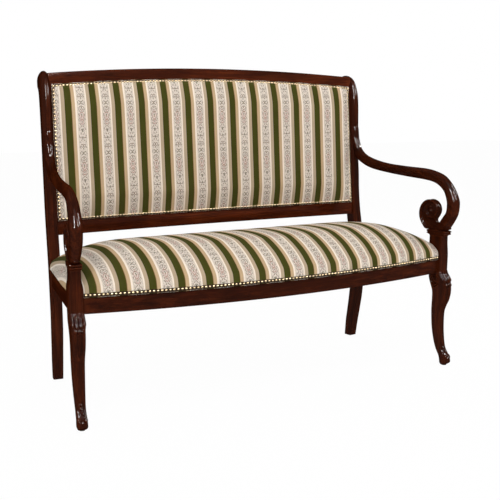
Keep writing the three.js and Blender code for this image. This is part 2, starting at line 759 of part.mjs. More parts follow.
function backCoverGeometry() {
  const at = (depth) => (column, row) => panelPoint(panelColumns[column], panelRows[row], depth);
  return gridSolid(panelColumns.length, panelRows.length, at(0), at(panel.cloth));
}

function backPadGeometry() {
  const columns = panelColumns.slice(2, -2);
  const rows = panelRows.slice(2, -2);
  const front = (column, row) => panelPoint(columns[column], rows[row], panel.cloth + clothGap);
  const rear = (column, row) => {
    const point = front(column, row);
    return vec(point.x, hollowAt(point.x) - woodGap - backWebbing.thickness - clothGap, point.z);
  };
  return gridSolid(columns.length, rows.length, front, rear);
}

function nailLoopSolid(front) {
  const rear = front + nailStrip.thickness;
  const outside = toSolid(backSheet(nailStrip.inset, front, rear));
  return outside.subtract(
    toSolid(backSheet(nailStrip.inset + nailStrip.width, front - overrun, rear + overrun)),
  );
}

// Seat

const rearRailRear = rearRailFront + rearRail.thickness;
const seatColumns = [-1, ...widthStations, 1];
const seatRows = [0, ...seatDepthShares, 1];
const planPasses = 4;

// A point of the seat's plan, whose edges stand a margin outside the rails' faces.
function seatPlan(widthShare, depthShare, margin) {
  let x = widthShare * frontRailHalf;
  let y = 0;
  for (let pass = 0; pass < planPasses; pass += 1) {
    y = THREE.MathUtils.lerp(frontRailFace(x) - margin, rearRailRear + margin, depthShare);
    x = widthShare * sideX(y, sideRail.outerFace + margin);
  }
  return [x, y];
}

function seatRise(widthShare, depthShare) {
  const [x, y] = seatPlan(widthShare, depthShare, 0);
  const side = (1 - Math.abs(widthShare)) * sideX(y, sideRail.outerFace);
  const front = swell(y - frontRailFace(x), seat.frontRun, frontSwellShares);
  const rear = swell(rearRailRear - y, seat.rearRun, rearSwellShares);
  const sideRun = THREE.MathUtils.lerp(seatSideRun.front, seatSideRun.rear, depthShare);
  return seat.crown * front * rear * swell(side, sideRun, sideSwellShares);
}

// A point of the seat cover; its outermost rows turn down over the rails.
function coverPoint(column, row, depth) {
  const [widthShare, depthShare] = [seatColumns[column], seatRows[row]];
  const [x, y] = seatPlan(widthShare, depthShare, clothGap + seat.cloth - depth);
  if (row === 0) return vec(x, y, railTop - seatLap.front);
  if (row === seatRows.length - 1) return vec(x, y, railTop - seatLap.rear);
  if (column === 0 || column === seatColumns.length - 1) return vec(x, y, railTop - seatLap.side);
  return vec(x, y, railTop + clothGap + seat.cloth - depth + seatRise(widthShare, depthShare));
}

const aheadOfLeg = box(vec(legRear - clothGap, legInner / 2, -far), vec(far, far, far));
const behindPost = box(vec(-far, postInner / 2, -far), vec(postFront + clothGap, far, far));
const frontNotch = legSolid(clothGap).add(aheadOfLeg);
const rearNotch = postSolid(clothGap).add(behindPost);

// Cuts the corners of a seat layer round the legs and the posts.
function notched(solid) {
  return sideMatrices.reduce(
    (piece, matrix) => piece.subtract(placed(frontNotch, matrix)).subtract(placed(rearNotch, matrix)),
    solid,
  );
}

function seatCoverSolid() {
  const outer = (column, row) => coverPoint(column, row, 0);
  const inner = (column, row) => coverPoint(column, row, seat.cloth);
  return notched(toSolid(gridSolid(seatColumns.length, seatRows.length, outer, inner)));
}

const webbingBottom = railTop + woodGap;
const hessianBottom = webbingBottom + seatWebbing.thickness + woodGap;
const padBottom = hessianBottom + hessian.thickness + clothGap;

function seatPadSolid() {
  const columns = widthStations.slice(1, -1);
  const rows = seatDepthShares.slice(1, -1);
  const at = (heightOf) => (column, row) => {
    const [x, y] = seatPlan(columns[column], rows[row], clothGap);
    return vec(x, y, heightOf(columns[column], rows[row]));
  };
  const top = at((width, depth) => railTop + seatRise(width, depth));
  return notched(toSolid(gridSolid(columns.length, rows.length, top, at(() => padBottom))));
}

// A flat layer over or under the seat rails, drawn in from their outer faces.
function seatLayer(inset, bottom, thickness, holes) {
  const front = widthStations.map((share) => seatPlan(share, 0, -inset));
  const outline = [...front, seatPlan(1, 1, -inset), seatPlan(-1, 1, -inset)];
  return notched(toSolid(prism(outline, bottom, bottom + thickness, holes)));
}

function seatWebbingSolid() {
  const { inset, strap, bayCount, rowCount, thickness } = seatWebbing;
  const width = 2 * sideX(rearRailRear, sideRail.outerFace - inset);
  const depth = rearRailRear - frontRail.endSetback - 2 * inset;
  const corner = (across, along) => seatPlan(2 * across - 1, along, -inset);
  const holes = bayShares(bayCount, strap, width).flatMap(([left, right]) =>
    bayShares(rowCount, strap, depth).map(([low, high]) => [
      corner(left, low),
      corner(right, low),
      corner(right, high),
      corner(left, high),
    ]),
  );
  return seatLayer(inset, webbingBottom, thickness, holes);
}

function seatNailStripGeometry() {
  const half = frontRailHalf - nailStrip.inset;
  const rear = (x) => frontRailFace(x) - clothGap - seat.cloth - woodGap;
  const low = railTop - seatLap.front + nailStrip.inset / 2;
  return board(half, (x) => rear(x) - nailStrip.thickness, rear, () => low, () => low + nailStrip.width);
}

// A brace under the seat, from the bowed front rail to the rear rail.
function seatBraceGeometry() {
  const left = seatBrace.offset - seatBrace.width / 2;
  const right = seatBrace.offset + seatBrace.width / 2;
  const rear = rearRailFront - woodGap;
  const outline = [
    [left, frontRailRear(left) + woodGap],
    [right, frontRailRear(right) + woodGap],
    [right, rear],
    [left, rear],
  ];
  const bottom = railTop - seatBrace.drop - seatBrace.height;
  return prism(outline, bottom, bottom + seatBrace.height);
}

// Corner blocks, drawn in the side frame's own x and y

const sideRailInner = sideRail.outerFace - sideRail.thickness - woodGap;
const blockBottom = railTop - block.drop - block.height;

function frontBlockOutline() {
  const near = frontRailHalf - block.legClearance;
  const away = near - block.railLength;
  const start = legRear - block.legClearance;
  return [
    toSide(near, frontRailRear(near) + woodGap),
    toSide(away, frontRailRear(away) + woodGap),
    [start - block.sideLength, sideRailInner],
    [start, sideRailInner],
  ];
}

function rearBlockOutline() {
  const near = sideX(rearRailFront, postInner) - block.legClearance;
  const start = postFront + block.legClearance;
  return [
    toSide(near, rearRailFront - woodGap),
    toSide(near - block.railLength, rearRailFront - woodGap),
    [start + block.sideLength, sideRailInner],
    [start, sideRailInner],
  ];
}

// Where a block's screw starts on its slanted face, between the block's two far corners.
function blockScrewStart(outline) {
  const [, away, beside] = outline;
  const [x, y] = away.map((value, axis) => THREE.MathUtils.lerp(value, beside[axis], blockScrew.placeShare));
  return vec(x, y + blockScrew.headDepth, blockBottom + block.height / 2);
}

const blockOutlines = { front: frontBlockOutline(), rear: rearBlockOutline() };

// A screw that runs outwards, along the side frame's y.
function outwardScrew(margin, start) {
  const screw = screwGeometry(blockScrew, margin, vec(0, 0, 0)).rotateZ(quarterTurn);
  return screw.translate(start.x, start.y, start.z);
}

const blockScrewHoles = Object.values(blockOutlines).map((outline) =>
  toSolid(outwardScrew(woodGap, blockScrewStart(outline))),
);

function blockSolid(outline) {
  const solid = toSolid(prism(outline, blockBottom, blockBottom + block.height));
  return blockScrewHoles.reduce((piece, hole) => piece.subtract(hole), solid);
}

// Foot glides under the four feet

function glideGeometry(along) {
  const disc = new THREE.CylinderGeometry(glide.radius, glide.radius, glide.thickness, roundSides);
  return disc.rotateX(quarterTurn).translate(along, 0, -woodGap - glide.thickness / 2);
}

const frontFoot = ((legShares[0][1] + legShares[0][2]) * leg.depth) / 2;
const rearFoot = ((postShares[0][0] + postShares[0][2]) * post.depth) / 2 - sideLength;

// Assembly: left and right as seen from the front

const settee = new THREE.Group();
settee.name = "settee";

function add(group, name, source, material) {
  const geometry = source.isBufferGeometry ? source : toGeometry(source);
  const mesh = new THREE.Mesh(geometry, material);
  mesh.name = name;
  group.add(mesh);
}

function flippedGroup(parent) {
  const group = new THREE.Group();
  group.scale.x = -1;
  parent.add(group);
  return group;
}

const sidePieces = {
  rear_post: [rearPostSolid(), mahogany],
  front_leg: [frontLegSolid(), mahogany],
  arm: [armSolid(), mahogany],
  arm_collar: [collarSolid(), mahoganyDark],
  side_rail: [sideRailSolid(), mahogany],
  arm_dowel: [dowelSolid(0), softwood],
  arm_screw: [armScrewShape, steel],
  front_corner_block: [blockSolid(blockOutlines.front), softwood],
  rear_corner_block: [blockSolid(blockOutlines.rear), softwood],
  front_block_screw: [outwardScrew(0, blockScrewStart(blockOutlines.front)), steel],
  rear_block_screw: [outwardScrew(0, blockScrewStart(blockOutlines.rear)), steel],
  front_foot_glide: [glideGeometry(frontFoot), felt],
  rear_foot_glide: [glideGeometry(rearFoot), felt],
};

for (const [side, parent] of [["right", settee], ["left", flippedGroup(settee)]]) {
  const frame = new THREE.Group();
  frame.position.x = frontHalfWidth;
  frame.rotation.z = splay - quarterTurn;
  parent.add(frame);
  for (const [name, [source, material]] of Object.entries(sidePieces)) {
    add(frame, `${name}_${side}`, source, material);
  }
  add(parent, `seat_brace_${side}`, seatBraceGeometry(), softwood);
}

add(settee, "front_rail", frontRailSolid(), mahogany);
add(settee, "rear_seat_rail", rearRailSolid(), mahogany);
add(settee, "seat_webbing", seatWebbingSolid(), jute);
add(settee, "seat_hessian", seatLayer(hessian.inset, hessianBottom, hessian.thickness), jute);
add(settee, "seat_pad", seatPadSolid(), padding);
add(settee, "seat_cover", seatCoverSolid(), stripedCloth);
add(settee, "seat_nail_strip", seatNailStripGeometry(), brass);
const dustBottom = railBottom - woodGap - dustCover.thickness;
add(settee, "dust_cover", seatLayer(dustCover.inset, dustBottom, dustCover.thickness), blackCambric);

const backGroup = new THREE.Group();
backGroup.position.set(0, backFront, back.foot);
backGroup.rotation.x = -back.rake;
settee.add(backGroup);
add(backGroup, "crest_rail", crestSolid(), mahogany);
add(backGroup, "lower_back_rail", lowerRailSolid(), mahogany);
for (const [side, parent] of [["right", backGroup], ["left", flippedGroup(backGroup)]]) {
  add(parent, `back_stile_${side}`, tackStileGeometry(), softwood);
  add(parent, `back_upright_${side}`, uprightGeometry(), softwood);
}
const clothFront = -clothGap - panel.cloth;
const outsideFront = back.thickness + clothGap;
const outsideRear = outsideFront + outsideBack.thickness;
add(backGroup, "back_webbing", backWebbingSolid(), jute);
add(backGroup, "back_pad", backPadGeometry(), padding);
add(backGroup, "back_cover", backCoverGeometry(), stripedCloth);
add(backGroup, "back_nail_strip", nailLoopSolid(clothFront - clothGap - nailStrip.thickness), brass);
add(backGroup, "outside_back_cover", backSheet(outsideBack.inset, outsideFront, outsideRear), stripedCloth);
add(backGroup, "outside_nail_strip", nailLoopSolid(outsideRear + clothGap), brass);

// The settee stands on its glides, with its middle over the origin
settee.position.z = woodGap + glide.thickness;
const extent = new THREE.Box3().setFromObject(settee);
settee.position.y = -(extent.min.y + extent.max.y) / 2;

export default settee;
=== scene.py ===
import json
import math

import bmesh
import bpy
import numpy as np
from mathutils import Matrix, Vector

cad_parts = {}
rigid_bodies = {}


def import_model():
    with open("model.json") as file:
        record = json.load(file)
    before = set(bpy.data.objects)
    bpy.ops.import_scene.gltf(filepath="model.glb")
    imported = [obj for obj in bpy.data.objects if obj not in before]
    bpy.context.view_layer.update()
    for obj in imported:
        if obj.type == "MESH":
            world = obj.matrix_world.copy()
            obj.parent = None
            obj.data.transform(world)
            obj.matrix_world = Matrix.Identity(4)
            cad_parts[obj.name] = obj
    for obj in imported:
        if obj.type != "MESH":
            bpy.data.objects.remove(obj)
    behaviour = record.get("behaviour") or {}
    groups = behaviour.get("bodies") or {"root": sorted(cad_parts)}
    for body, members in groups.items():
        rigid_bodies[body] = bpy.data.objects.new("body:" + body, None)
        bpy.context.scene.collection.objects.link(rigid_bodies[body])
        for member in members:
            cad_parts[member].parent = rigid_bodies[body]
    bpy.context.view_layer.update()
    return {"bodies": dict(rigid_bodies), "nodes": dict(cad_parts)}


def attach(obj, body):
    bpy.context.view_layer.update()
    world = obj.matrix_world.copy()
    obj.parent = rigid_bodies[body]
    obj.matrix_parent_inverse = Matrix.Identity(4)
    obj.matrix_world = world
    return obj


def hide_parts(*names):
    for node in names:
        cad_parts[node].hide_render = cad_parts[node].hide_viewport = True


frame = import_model()
body = next(iter(frame["bodies"]))
print("frame loaded, body", body)

# Plan of the settee in metres: side frames that splay apart towards the front
plan = {
    "halfWidth": 0.647,
    "taper": 0.063,
    "legSpacing": 0.48,
    "forward": 0.26356,  # how far the front leg line stands ahead of the middle
    "lift": 0.0023,  # glide under each foot
    "woodGap": 0.0003,  # between pieces that touch
}
splay = math.atan2(plan["taper"], plan["legSpacing"])
sideLength = math.hypot(plan["taper"], plan["legSpacing"])

rails = {
    "bottom": 0.321,
    "height": 0.06,
    "frontThickness": 0.032,
    "frontBow": 0.07,
    "frontSetback": 0.026,
    "rearThickness": 0.026,
    "rearSetback": 0.009,
    "sideThickness": 0.025,
    "sideFace": 0.014,
    "edge": 0.0022,
    "lap": 0.004,
    "rearLap": 0.003,
}
railTop = rails["bottom"] + rails["height"]

leg = {
    "height": 0.448, "depth": 0.05, "width": 0.0395, "rings": 230, "sides": 128,
    "cornerHeights": [0.28, 0.335, 0.4], "corners": [0.45, 0.3, 0.16],
}
legRows = [  # height, front and rear edge, and width, as shares of the leg's sizes
    [0, 0.1, -0.2, 0.62], [0.012, 0.25, -0.27, 0.74], [0.027, 0.33, -0.29, 0.78], [0.066, 0.23, -0.39, 0.75],
    [0.124, -0.13, -0.71, 0.72], [0.192, -0.29, -0.91, 0.78], [0.288, -0.39, -1.07, 0.86],
    [0.398, -0.39, -1.13, 0.92], [0.454, -0.23, -1.13, 0.94], [0.509, 0.01, -1.11, 0.97],
    [0.571, 0.13, -1.13, 1], [0.628, 0.11, -1.33, 1.03], [0.668, -0.01, -1.43, 1.06],
    [0.699, -0.23, -1.45, 1.05], [0.72, -0.33, -1.51, 1.03], [0.78, -0.34, -1.51, 1.03],
    [0.85, -0.35, -1.51, 1.03], [0.889, -0.37, -1.51, 1], [0.94, -0.35, -1.51, 0.8], [1, -0.35, -1.51, 0.78],
]

post = {"rise": 0.042, "depth": 0.044, "width": 0.0355, "rearCorner": 0.3, "rings": 220, "sides": 56}
postRows = [  # front edge forward and up, rear edge forward and up, width, and how round the front is
    [0.28, 0, -0.48, 0, 0.91, 0.3], [0.52, 0.06, -0.35, 0.06, 0.96, 0.3], [0.72, 0.102, -0.19, 0.102, 0.97, 0.3],
    [0.97, 0.16, 0.02, 0.16, 1, 0.3], [1.11, 0.215, 0.15, 0.215, 1, 0.3], [1.13, 0.27, 0.09, 0.27, 1, 0.3],
    [1.11, 0.33, 0.02, 0.33, 1, 0.3], [1.01, 0.39, -0.1, 0.39, 1, 0.3], [0.74, 0.453, -0.35, 0.453, 1, 0.3],
    [0.51, 0.51, -0.58, 0.51, 1, 0.3], [0.36, 0.572, -0.75, 0.572, 1, 0.3], [0.3, 0.64, -0.83, 0.64, 1, 0.35],
    [0.29, 0.7, -0.89, 0.695, 1, 0.7], [0.31, 0.77, -0.95, 0.762, 1, 1], [0.32, 0.84, -1.03, 0.822, 1, 1],
    [0.28, 0.9, -1.15, 0.875, 1, 1], [0.14, 0.94, -1.25, 0.903, 1, 1], [-0.3, 0.982, -1.38, 0.925, 1, 1],
    [-1.05, 1, -1.62, 0.936, 1, 1], [-1.8, 0.996, -1.86, 0.943, 0.99, 1], [-2.18, 0.98, -2.1, 0.955, 0.93, 1],
]

arm = {"overhang": 0.04, "rise": 0.397, "width": 0.03, "rings": 190, "sides": 44, "voxel": 0.0013, "smoothing": 3}
armRows = [  # outer edge forward and up, inner edge forward and up, and width
    [0.008, 0.96, -0.035, 0.945, 0.35], [0.019, 0.91, -0.024, 0.895, 0.58], [0.031, 0.85, -0.016, 0.83, 0.84],
    [0.034, 0.79, -0.012, 0.76, 0.94], [0.042, 0.742, -0.006, 0.7, 0.98],
    [0.072, 0.662, 0.02, 0.6, 1], [0.132, 0.605, 0.08, 0.535, 1], [0.235, 0.566, 0.188, 0.485, 1],
    [0.363, 0.541, 0.35, 0.457, 1], [0.538, 0.529, 0.53, 0.438, 1], [0.711, 0.522, 0.71, 0.423, 1],
    [0.806, 0.502, 0.79, 0.406, 1.02], [0.88, 0.465, 0.843, 0.374, 1.1], [0.945, 0.383, 0.882, 0.328, 1.2],
    [0.985, 0.295, 0.902, 0.262, 1.25], [0.995, 0.24, 0.905, 0.22, 1.25], [0.987, 0.152, 0.897, 0.16, 1.2],
    [0.953, 0.07, 0.86, 0.092, 1.1], [0.92, 0.018, 0.835, 0.05, 1], [0.865, -0.03, 0.8, 0.03, 0.94],
]
scroll = {
    "radius": 0.052, "forward": 0.085, "height": 0.516, "width": 0.0145, "edge": 0.004,
    "eyeForward": -0.08, "eyeHeight": 0.532, "eyeRadius": 0.0088, "eyeRise": 0.0042, "petals": 8,
    "rimOut": 0.0098, "rimRadius": 0.0052, "rimSteps": 190, "rimEase": 8,
}
scrollRows = [  # outline of the scroll, forward and up, in its radius
    [1.75, -0.8], [0.9, -1.15], [0.1, -1.12], [-0.5, -0.92], [-0.79, -0.42], [-0.85, 0.08], [-0.75, 0.52],
    [-0.44, 0.88], [0.03, 1], [0.44, 0.93], [0.74, 0.68], [0.84, 0.36], [0.74, 0.04], [0.54, -0.26],
    [0.66, -0.46], [1, -0.34], [1.36, 0.2],
]

collar = {"height": 0.018, "length": 0.085, "width": 0.0355, "corner": 0.1}
collarRows = [  # height, length and width of the moulding
    [0, 0.7, 0.9], [0.1, 0.73, 0.91], [0.2, 0.84, 0.94], [0.26, 0.93, 0.97], [0.33, 0.965, 0.985], [0.42, 0.975, 0.99],
    [0.5, 0.955, 0.98], [0.55, 0.91, 0.955], [0.6, 0.9, 0.95], [0.65, 0.93, 0.965], [0.7, 0.975, 0.985], [0.78, 1, 1],
    [0.88, 0.995, 0.99], [0.95, 0.96, 0.975], [1, 0.9, 0.95],
]

back = {"foot": 0.525, "setback": 0.008, "rake": math.radians(3.8), "hollow": 0.03, "thickness": 0.026}
panel = {
    "height": 0.433, "arch": 0.025, "crown": 0.017, "cloth": 0.0025, "margin": 0.013, "roll": 0.06, "round": 2.2,
    "clothMiddle": -0.0078,
}
lowerRail = {"height": 0.045, "lap": 0.024, "edge": 0.004}
crest = {"height": 0.036, "lap": 0.024, "edge": 0.003}

seat = {"crown": 0.1005, "cloth": 0.0025, "gap": 0.0005, "frontRun": 0.217, "rearRun": 0.3, "underside": 0.004}
seatSideRun = {"front": 0.169, "rear": 0.15}
seatSwell = {"front": (2.22, 2.12), "rear": (1.83, 3.2), "side": (1.0, 2.81)}
seatLap = {"front": 0.012, "side": 0.003, "rear": 0.012}
# How the stripes lie over the seat: full length of the cloth in the middle, pulled together at the ends
seatCloth = {"repeat": 0.08402, "middle": -0.01401, "pull": 1.0, "endPull": 0.65, "endStart": 0.93, "start": 0.045}
outside = {"inset": 0.004, "gap": 0.0005, "cloth": 0.0025}
nails = {
    # the link is a dark strip between the heads: painted shade
    "strip": 0.011, "inset": 0.001, "pitch": 0.0117, "head": 0.0071, "rise": 0.0026, "link": 0.0104, "seed": 7,
    "seatProud": 0.0035, "backProud": 0.0033, "outsideProud": 0.003,
}


def curveRows(rows, count):  # a smooth curve through every row of a table
    table = np.array(rows, float)
    place = np.linspace(0, len(table) - 1, count)
    index = np.minimum(place.astype(int), len(table) - 2)
    t = (place - index)[:, None]
    start, end = table[index], table[index + 1]
    leave = (end - table[np.maximum(index - 1, 0)]) / 2
    arrive = (table[np.minimum(index + 2, len(table) - 1)] - start) / 2
    rise = end - start
    return start + t * (leave + t * (3 * rise - 2 * leave - arrive + t * (leave + arrive - 2 * rise)))


def rowAtHeight(rows, column, share):
    table = np.array(rows, float)
    upper = int(np.argmax(table[:, column] >= share))
    lower = max(upper - 1, 0)
    t = (share - table[lower, column]) / max(table[upper, column] - table[lower, column], 1e-9)
    return table[lower] + t * (table[upper] - table[lower])


postHeight = back["foot"] + panel["height"] * math.cos(back["rake"]) + post["rise"]
armReach = sideLength + arm["overhang"]
railMiddle = (rails["bottom"] + railTop) / 2
collarBottom = leg["height"] + plan["woodGap"]
collarTop = collarBottom + collar["height"]


def postFrontAt(height):
    return rowAtHeight(postRows, 1, height / postHeight)[0] * post["depth"] - sideLength


legAtRail = rowAtHeight(legRows, 0, railMiddle / leg["height"])
legRear = legAtRail[2] * leg["depth"]
legInner = -legAtRail[3] * leg["width"] / 2
legMiddle = (legRows[-1][1] + legRows[-1][2]) * leg["depth"] / 2
postFront = postFrontAt(railMiddle)
postInner = -post["width"] / 2
backFront = (back["setback"] - postFrontAt(back["foot"])) * math.cos(splay)
rearRailFront = rails["rearSetback"] - postFront * math.cos(splay)
rearRailRear = rearRailFront + rails["rearThickness"]


def onFloor(points):
    return np.asarray(points, float) + [0, -plan["forward"], plan["lift"]]


def fromSide(points, side):  # forward, outward and up from the front leg line, on the right or the left
    forward, outward, up = np.moveaxis(np.asarray(points, float), -1, 0)
    x = plan["halfWidth"] + forward * math.sin(splay) + outward * math.cos(splay)
    y = -forward * math.cos(splay) + outward * math.sin(splay)
    return onFloor(np.stack([side * x, y, up], -1))


def fromBack(points):  # along, rearward and up the raked back
    x, y, z = np.moveaxis(np.asarray(points, float), -1, 0)
    lean, rise = math.sin(back["rake"]), math.cos(back["rake"])
    return onFloor(np.stack([x, y * rise + z * lean + backFront, z * rise - y * lean + back["foot"]], -1))


def sideX(y, across):
    return plan["halfWidth"] + across / math.cos(splay) - y * math.tan(splay)


frontRailHalf = sideX(rails["frontSetback"], legInner)
backHalf = sideX(backFront, postInner)


def frontRailFace(x):
    return rails["frontSetback"] - rails["frontBow"] * (1 - (x / frontRailHalf) ** 2)


def hollowAt(x):  # how far the back curves away behind the sitter
    return back["hollow"] * (1 - (x / backHalf) ** 2)


def archAt(x):
    return panel["arch"] * (1 - (x / backHalf) ** 2)


def panelHalf(y, z):
    place = y * math.cos(back["rake"]) + z * math.sin(back["rake"]) + backFront
    return sideX(place, postInner - plan["woodGap"])


# Meshes


def gridFaces(rows, columns, around=False):
    row, column = np.meshgrid(np.arange(rows - 1), np.arange(columns if around else columns - 1), indexing="ij")
    beside = (column + 1) % columns
    start, onward = row * columns, (row + 1) * columns
    corners = [start + column, start + beside, onward + beside, onward + column]
    return np.stack([corner.ravel() for corner in corners], -1)


def newObject(name, data):
    piece = bpy.data.objects.new(name, data)
    bpy.context.scene.collection.objects.link(piece)
    return piece


def newMesh(name, points, faces=(), edges=()):
    mesh = bpy.data.meshes.new(name)
    places = [tuple(point) for point in np.asarray(points, float)]
    mesh.from_pydata(places, list(edges), [tuple(map(int, face)) for face in faces])
    return mesh


def evaluatedMesh(piece):
    return bpy.data.meshes.new_from_object(piece.evaluated_get(bpy.context.evaluated_depsgraph_get()))


def turnOutward(mesh):
    work = bmesh.new()
    work.from_mesh(mesh)
    bmesh.ops.recalc_face_normals(work, faces=work.faces)
    work.to_mesh(mesh)
    work.free()


def addVectors(mesh, name, values):
    layer = mesh.attributes.new(name, "FLOAT_VECTOR", "POINT")
    layer.data.foreach_set("vector", np.asarray(values, np.float32).ravel())


def addWeave(mesh, weave):
    layer = mesh.uv_layers.new(name="weave")
    index = np.zeros(len(mesh.loops), np.int32)
    mesh.loops.foreach_get("vertex_index", index)
    layer.data.foreach_set("uv", np.asarray(weave, np.float32)[index].ravel())


def makePiece(name, points, faces, material, replaced=(), grain=None, weave=None, sharp=None):
    mesh = newMesh(name, points, faces)
    if grain is not None:
        addVectors(mesh, "grain", grain)
    if weave is not None:
        addWeave(mesh, weave)
    mesh.validate()
    turnOutward(mesh)
    mesh.shade_smooth()
    if sharp:
        mesh.set_sharp_from_angle(angle=math.radians(sharp))
    mesh.materials.append(material)
    return finishPiece(newObject(name, mesh), replaced)


def makeSidePiece(label, node, side, points, faces, grain, sharp=None):  # one of a pair in show wood
    name = "_right" if side > 0 else "_left"
    places = fromSide(points, side)
    makePiece(label + name, places, faces, showWood, [node + name], grain, sharp=sharp)


def finishPiece(piece, replaced=()):
    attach(piece, body)
    if replaced:
        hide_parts(*replaced)
    return piece


def lengthAlong(line):
    return np.r_[0, np.cumsum(np.linalg.norm(np.diff(line, axis=0), axis=1))]


def roundedSection(frontCorner, rearCorner, count):  # a unit outline, even steps apart, that starts at the front
    outline = []
    corners = ((1, -1, frontCorner), (1, 1, frontCorner), (-1, 1, rearCorner), (-1, -1, rearCorner))
    for turn, (along, across, share) in zip((3, 0, 1, 2), corners):
        angles = (turn + np.linspace(0, 1, 25)) * math.pi / 2
        x, y = along * (1 - share) + np.cos(angles) * share, across * (1 - share) + np.sin(angles) * share
        outline.append(np.stack([x, y], -1))
    ring = np.concatenate(outline + [outline[0][:1]])
    ring = ring[np.r_[True, np.linalg.norm(np.diff(ring, axis=0), axis=1) > 1e-9]]
    step = lengthAlong(ring)
    middle = np.interp(0, ring[:40, 1], step[:40]) if ring[0, 1] < 0 else 0
    places = (middle + np.arange(count) / count * step[-1]) % step[-1]
    return np.stack([np.interp(places, step, ring[:, 0]), np.interp(places, step, ring[:, 1])], -1)


def cappedLoft(rings):  # points and faces of a closed solid through rings
    rows, columns, _ = rings.shape
    points = np.concatenate([rings.reshape(-1, 3), rings[:1].mean(1), rings[-1:].mean(1)])
    faces = [tuple(face) for face in gridFaces(rows, columns, True)]
    first, last = rows * columns, rows * columns + 1
    for column in range(columns):
        beside = (column + 1) % columns
        faces.append((first, beside, column))
        faces.append((last, (rows - 1) * columns + column, (rows - 1) * columns + beside))
    return points, faces


def cappedValues(grid):  # values on the rings of a capped loft, and at its two end points
    return np.concatenate([grid.reshape(-1, 3), grid[0, :1], grid[-1, :1]])


def sideLine(rows, column, reach, base, rise):  # a line in a side frame, from two columns of shares
    return np.stack([rows[:, column] * reach - sideLength, np.zeros(len(rows)), base + rows[:, column + 1] * rise], -1)


def edgeRings(fronts, rears, halfWidths, sections):
    middle, reach = (fronts + rears) / 2, (fronts - rears) / 2
    along, across = sections[..., 0:1], sections[..., 1:2]
    rings = middle[:, None] + along * reach[:, None]
    rings[..., 1] += across[..., 0] * halfWidths[:, None]
    return rings


# Shades and finishes


class Nodes:  # short ways to place and join nodes in one tree
    def __init__(self, tree):
        self.tree = tree

    def add(self, kind, inputs=None, **settings):
        node = self.tree.nodes.new(kind)
        for key, value in settings.items():
            setattr(node, key, value)
        self.feed(node.inputs, inputs or {})
        return node

    def feed(self, sockets, values):
        for key, value in values.items():
            if isinstance(value, bpy.types.NodeSocket):
                self.tree.links.new(value, sockets[key])
            else:
                sockets[key].default_value = value

    def group(self, tree, inputs):
        return self.add("ShaderNodeGroup", inputs, node_tree=tree).outputs

    def math(self, operation, first, second=0.0, clamp=False):
        return self.add("ShaderNodeMath", {0: first, 1: second}, operation=operation, use_clamp=clamp).outputs[0]

    def plus(self, first, second):
        return self.math("ADD", first, second)

    def minus(self, first, second):
        return self.math("SUBTRACT", first, second)

    def times(self, first, second):
        return self.math("MULTIPLY", first, second)

    def most(self, values):
        result = values[0]
        for value in values[1:]:
            result = self.math("MAXIMUM", result, value)
        return result

    def distance(self, first, second):
        return self.math("ABSOLUTE", self.minus(first, second))

    def weighted(self, *parts):  # the sum of values, each times its share
        total = self.times(*parts[0])
        for part in parts[1:]:
            total = self.plus(total, self.times(*part))
        return total

    def mix(self, share, first, second):
        return self.add("ShaderNodeMix", {0: share, 6: first, 7: second}, data_type="RGBA").outputs[2]

    def span(self, value, low, high, start=0.0, end=1.0, smooth=False):
        kind = "SMOOTHSTEP" if smooth else "LINEAR"
        inputs = {"Value": value, "From Min": low, "From Max": high, "To Min": start, "To Max": end}
        return self.add("ShaderNodeMapRange", inputs, interpolation_type=kind).outputs[0]

    def noise(self, place, scale, detail=4.0, roughness=0.5, distortion=0.0):
        inputs = {"Vector": place, "Scale": scale, "Detail": detail, "Roughness": roughness, "Distortion": distortion}
        return self.add("ShaderNodeTexNoise", inputs).outputs[0]

    def stretch(self, place, scale):
        return self.add("ShaderNodeMapping", {"Vector": place, "Scale": scale}).outputs[0]

    def bump(self, height, strength, distance):
        return self.add("ShaderNodeBump", {"Strength": strength, "Distance": distance, "Height": height}).outputs[0]

    def objectPlace(self):
        return self.add("ShaderNodeTexCoord").outputs["Object"]

    def ramp(self, value, stops):
        node = self.add("ShaderNodeValToRGB", {0: value})
        band = node.color_ramp
        while len(band.elements) < len(stops):
            band.elements.new(0.5)
        for element, (place, colour) in zip(band.elements, stops):
            element.position = place
            element.color = colour
        return node.outputs[0]


def paint(red, green, blue):  # screen colour, 0 to 255, as light
    shares = (value / 255 for value in (red, green, blue))
    return tuple(((share + 0.055) / 1.055) ** 2.4 if share > 0.04045 else share / 12.92 for share in shares) + (1.0,)


def newSocket(tree, label, kind, value=None, way="INPUT"):
    socket = tree.interface.new_socket(label, in_out=way, socket_type="NodeSocket" + kind)
    if value is not None:
        socket.default_value = value


def newGroup(name, inputs, outputs):
    tree = bpy.data.node_groups.new(name, "ShaderNodeTree")
    for label, kind, value in inputs:
        newSocket(tree, label, kind, value)
    for label, kind in outputs:
        newSocket(tree, label, kind, way="OUTPUT")
    nodes = Nodes(tree)
    return tree, nodes, nodes.add("NodeGroupInput").outputs, nodes.add("NodeGroupOutput").inputs


def newMaterial(name, **plain):
    material = bpy.data.materials.new(name)
    material.use_nodes = True
    nodes = Nodes(material.node_tree)
    shader = material.node_tree.nodes["Principled BSDF"]
    nodes.feed(shader.inputs, {key.replace("_", " "): value for key, value in plain.items()})
    return material, nodes, shader.inputs


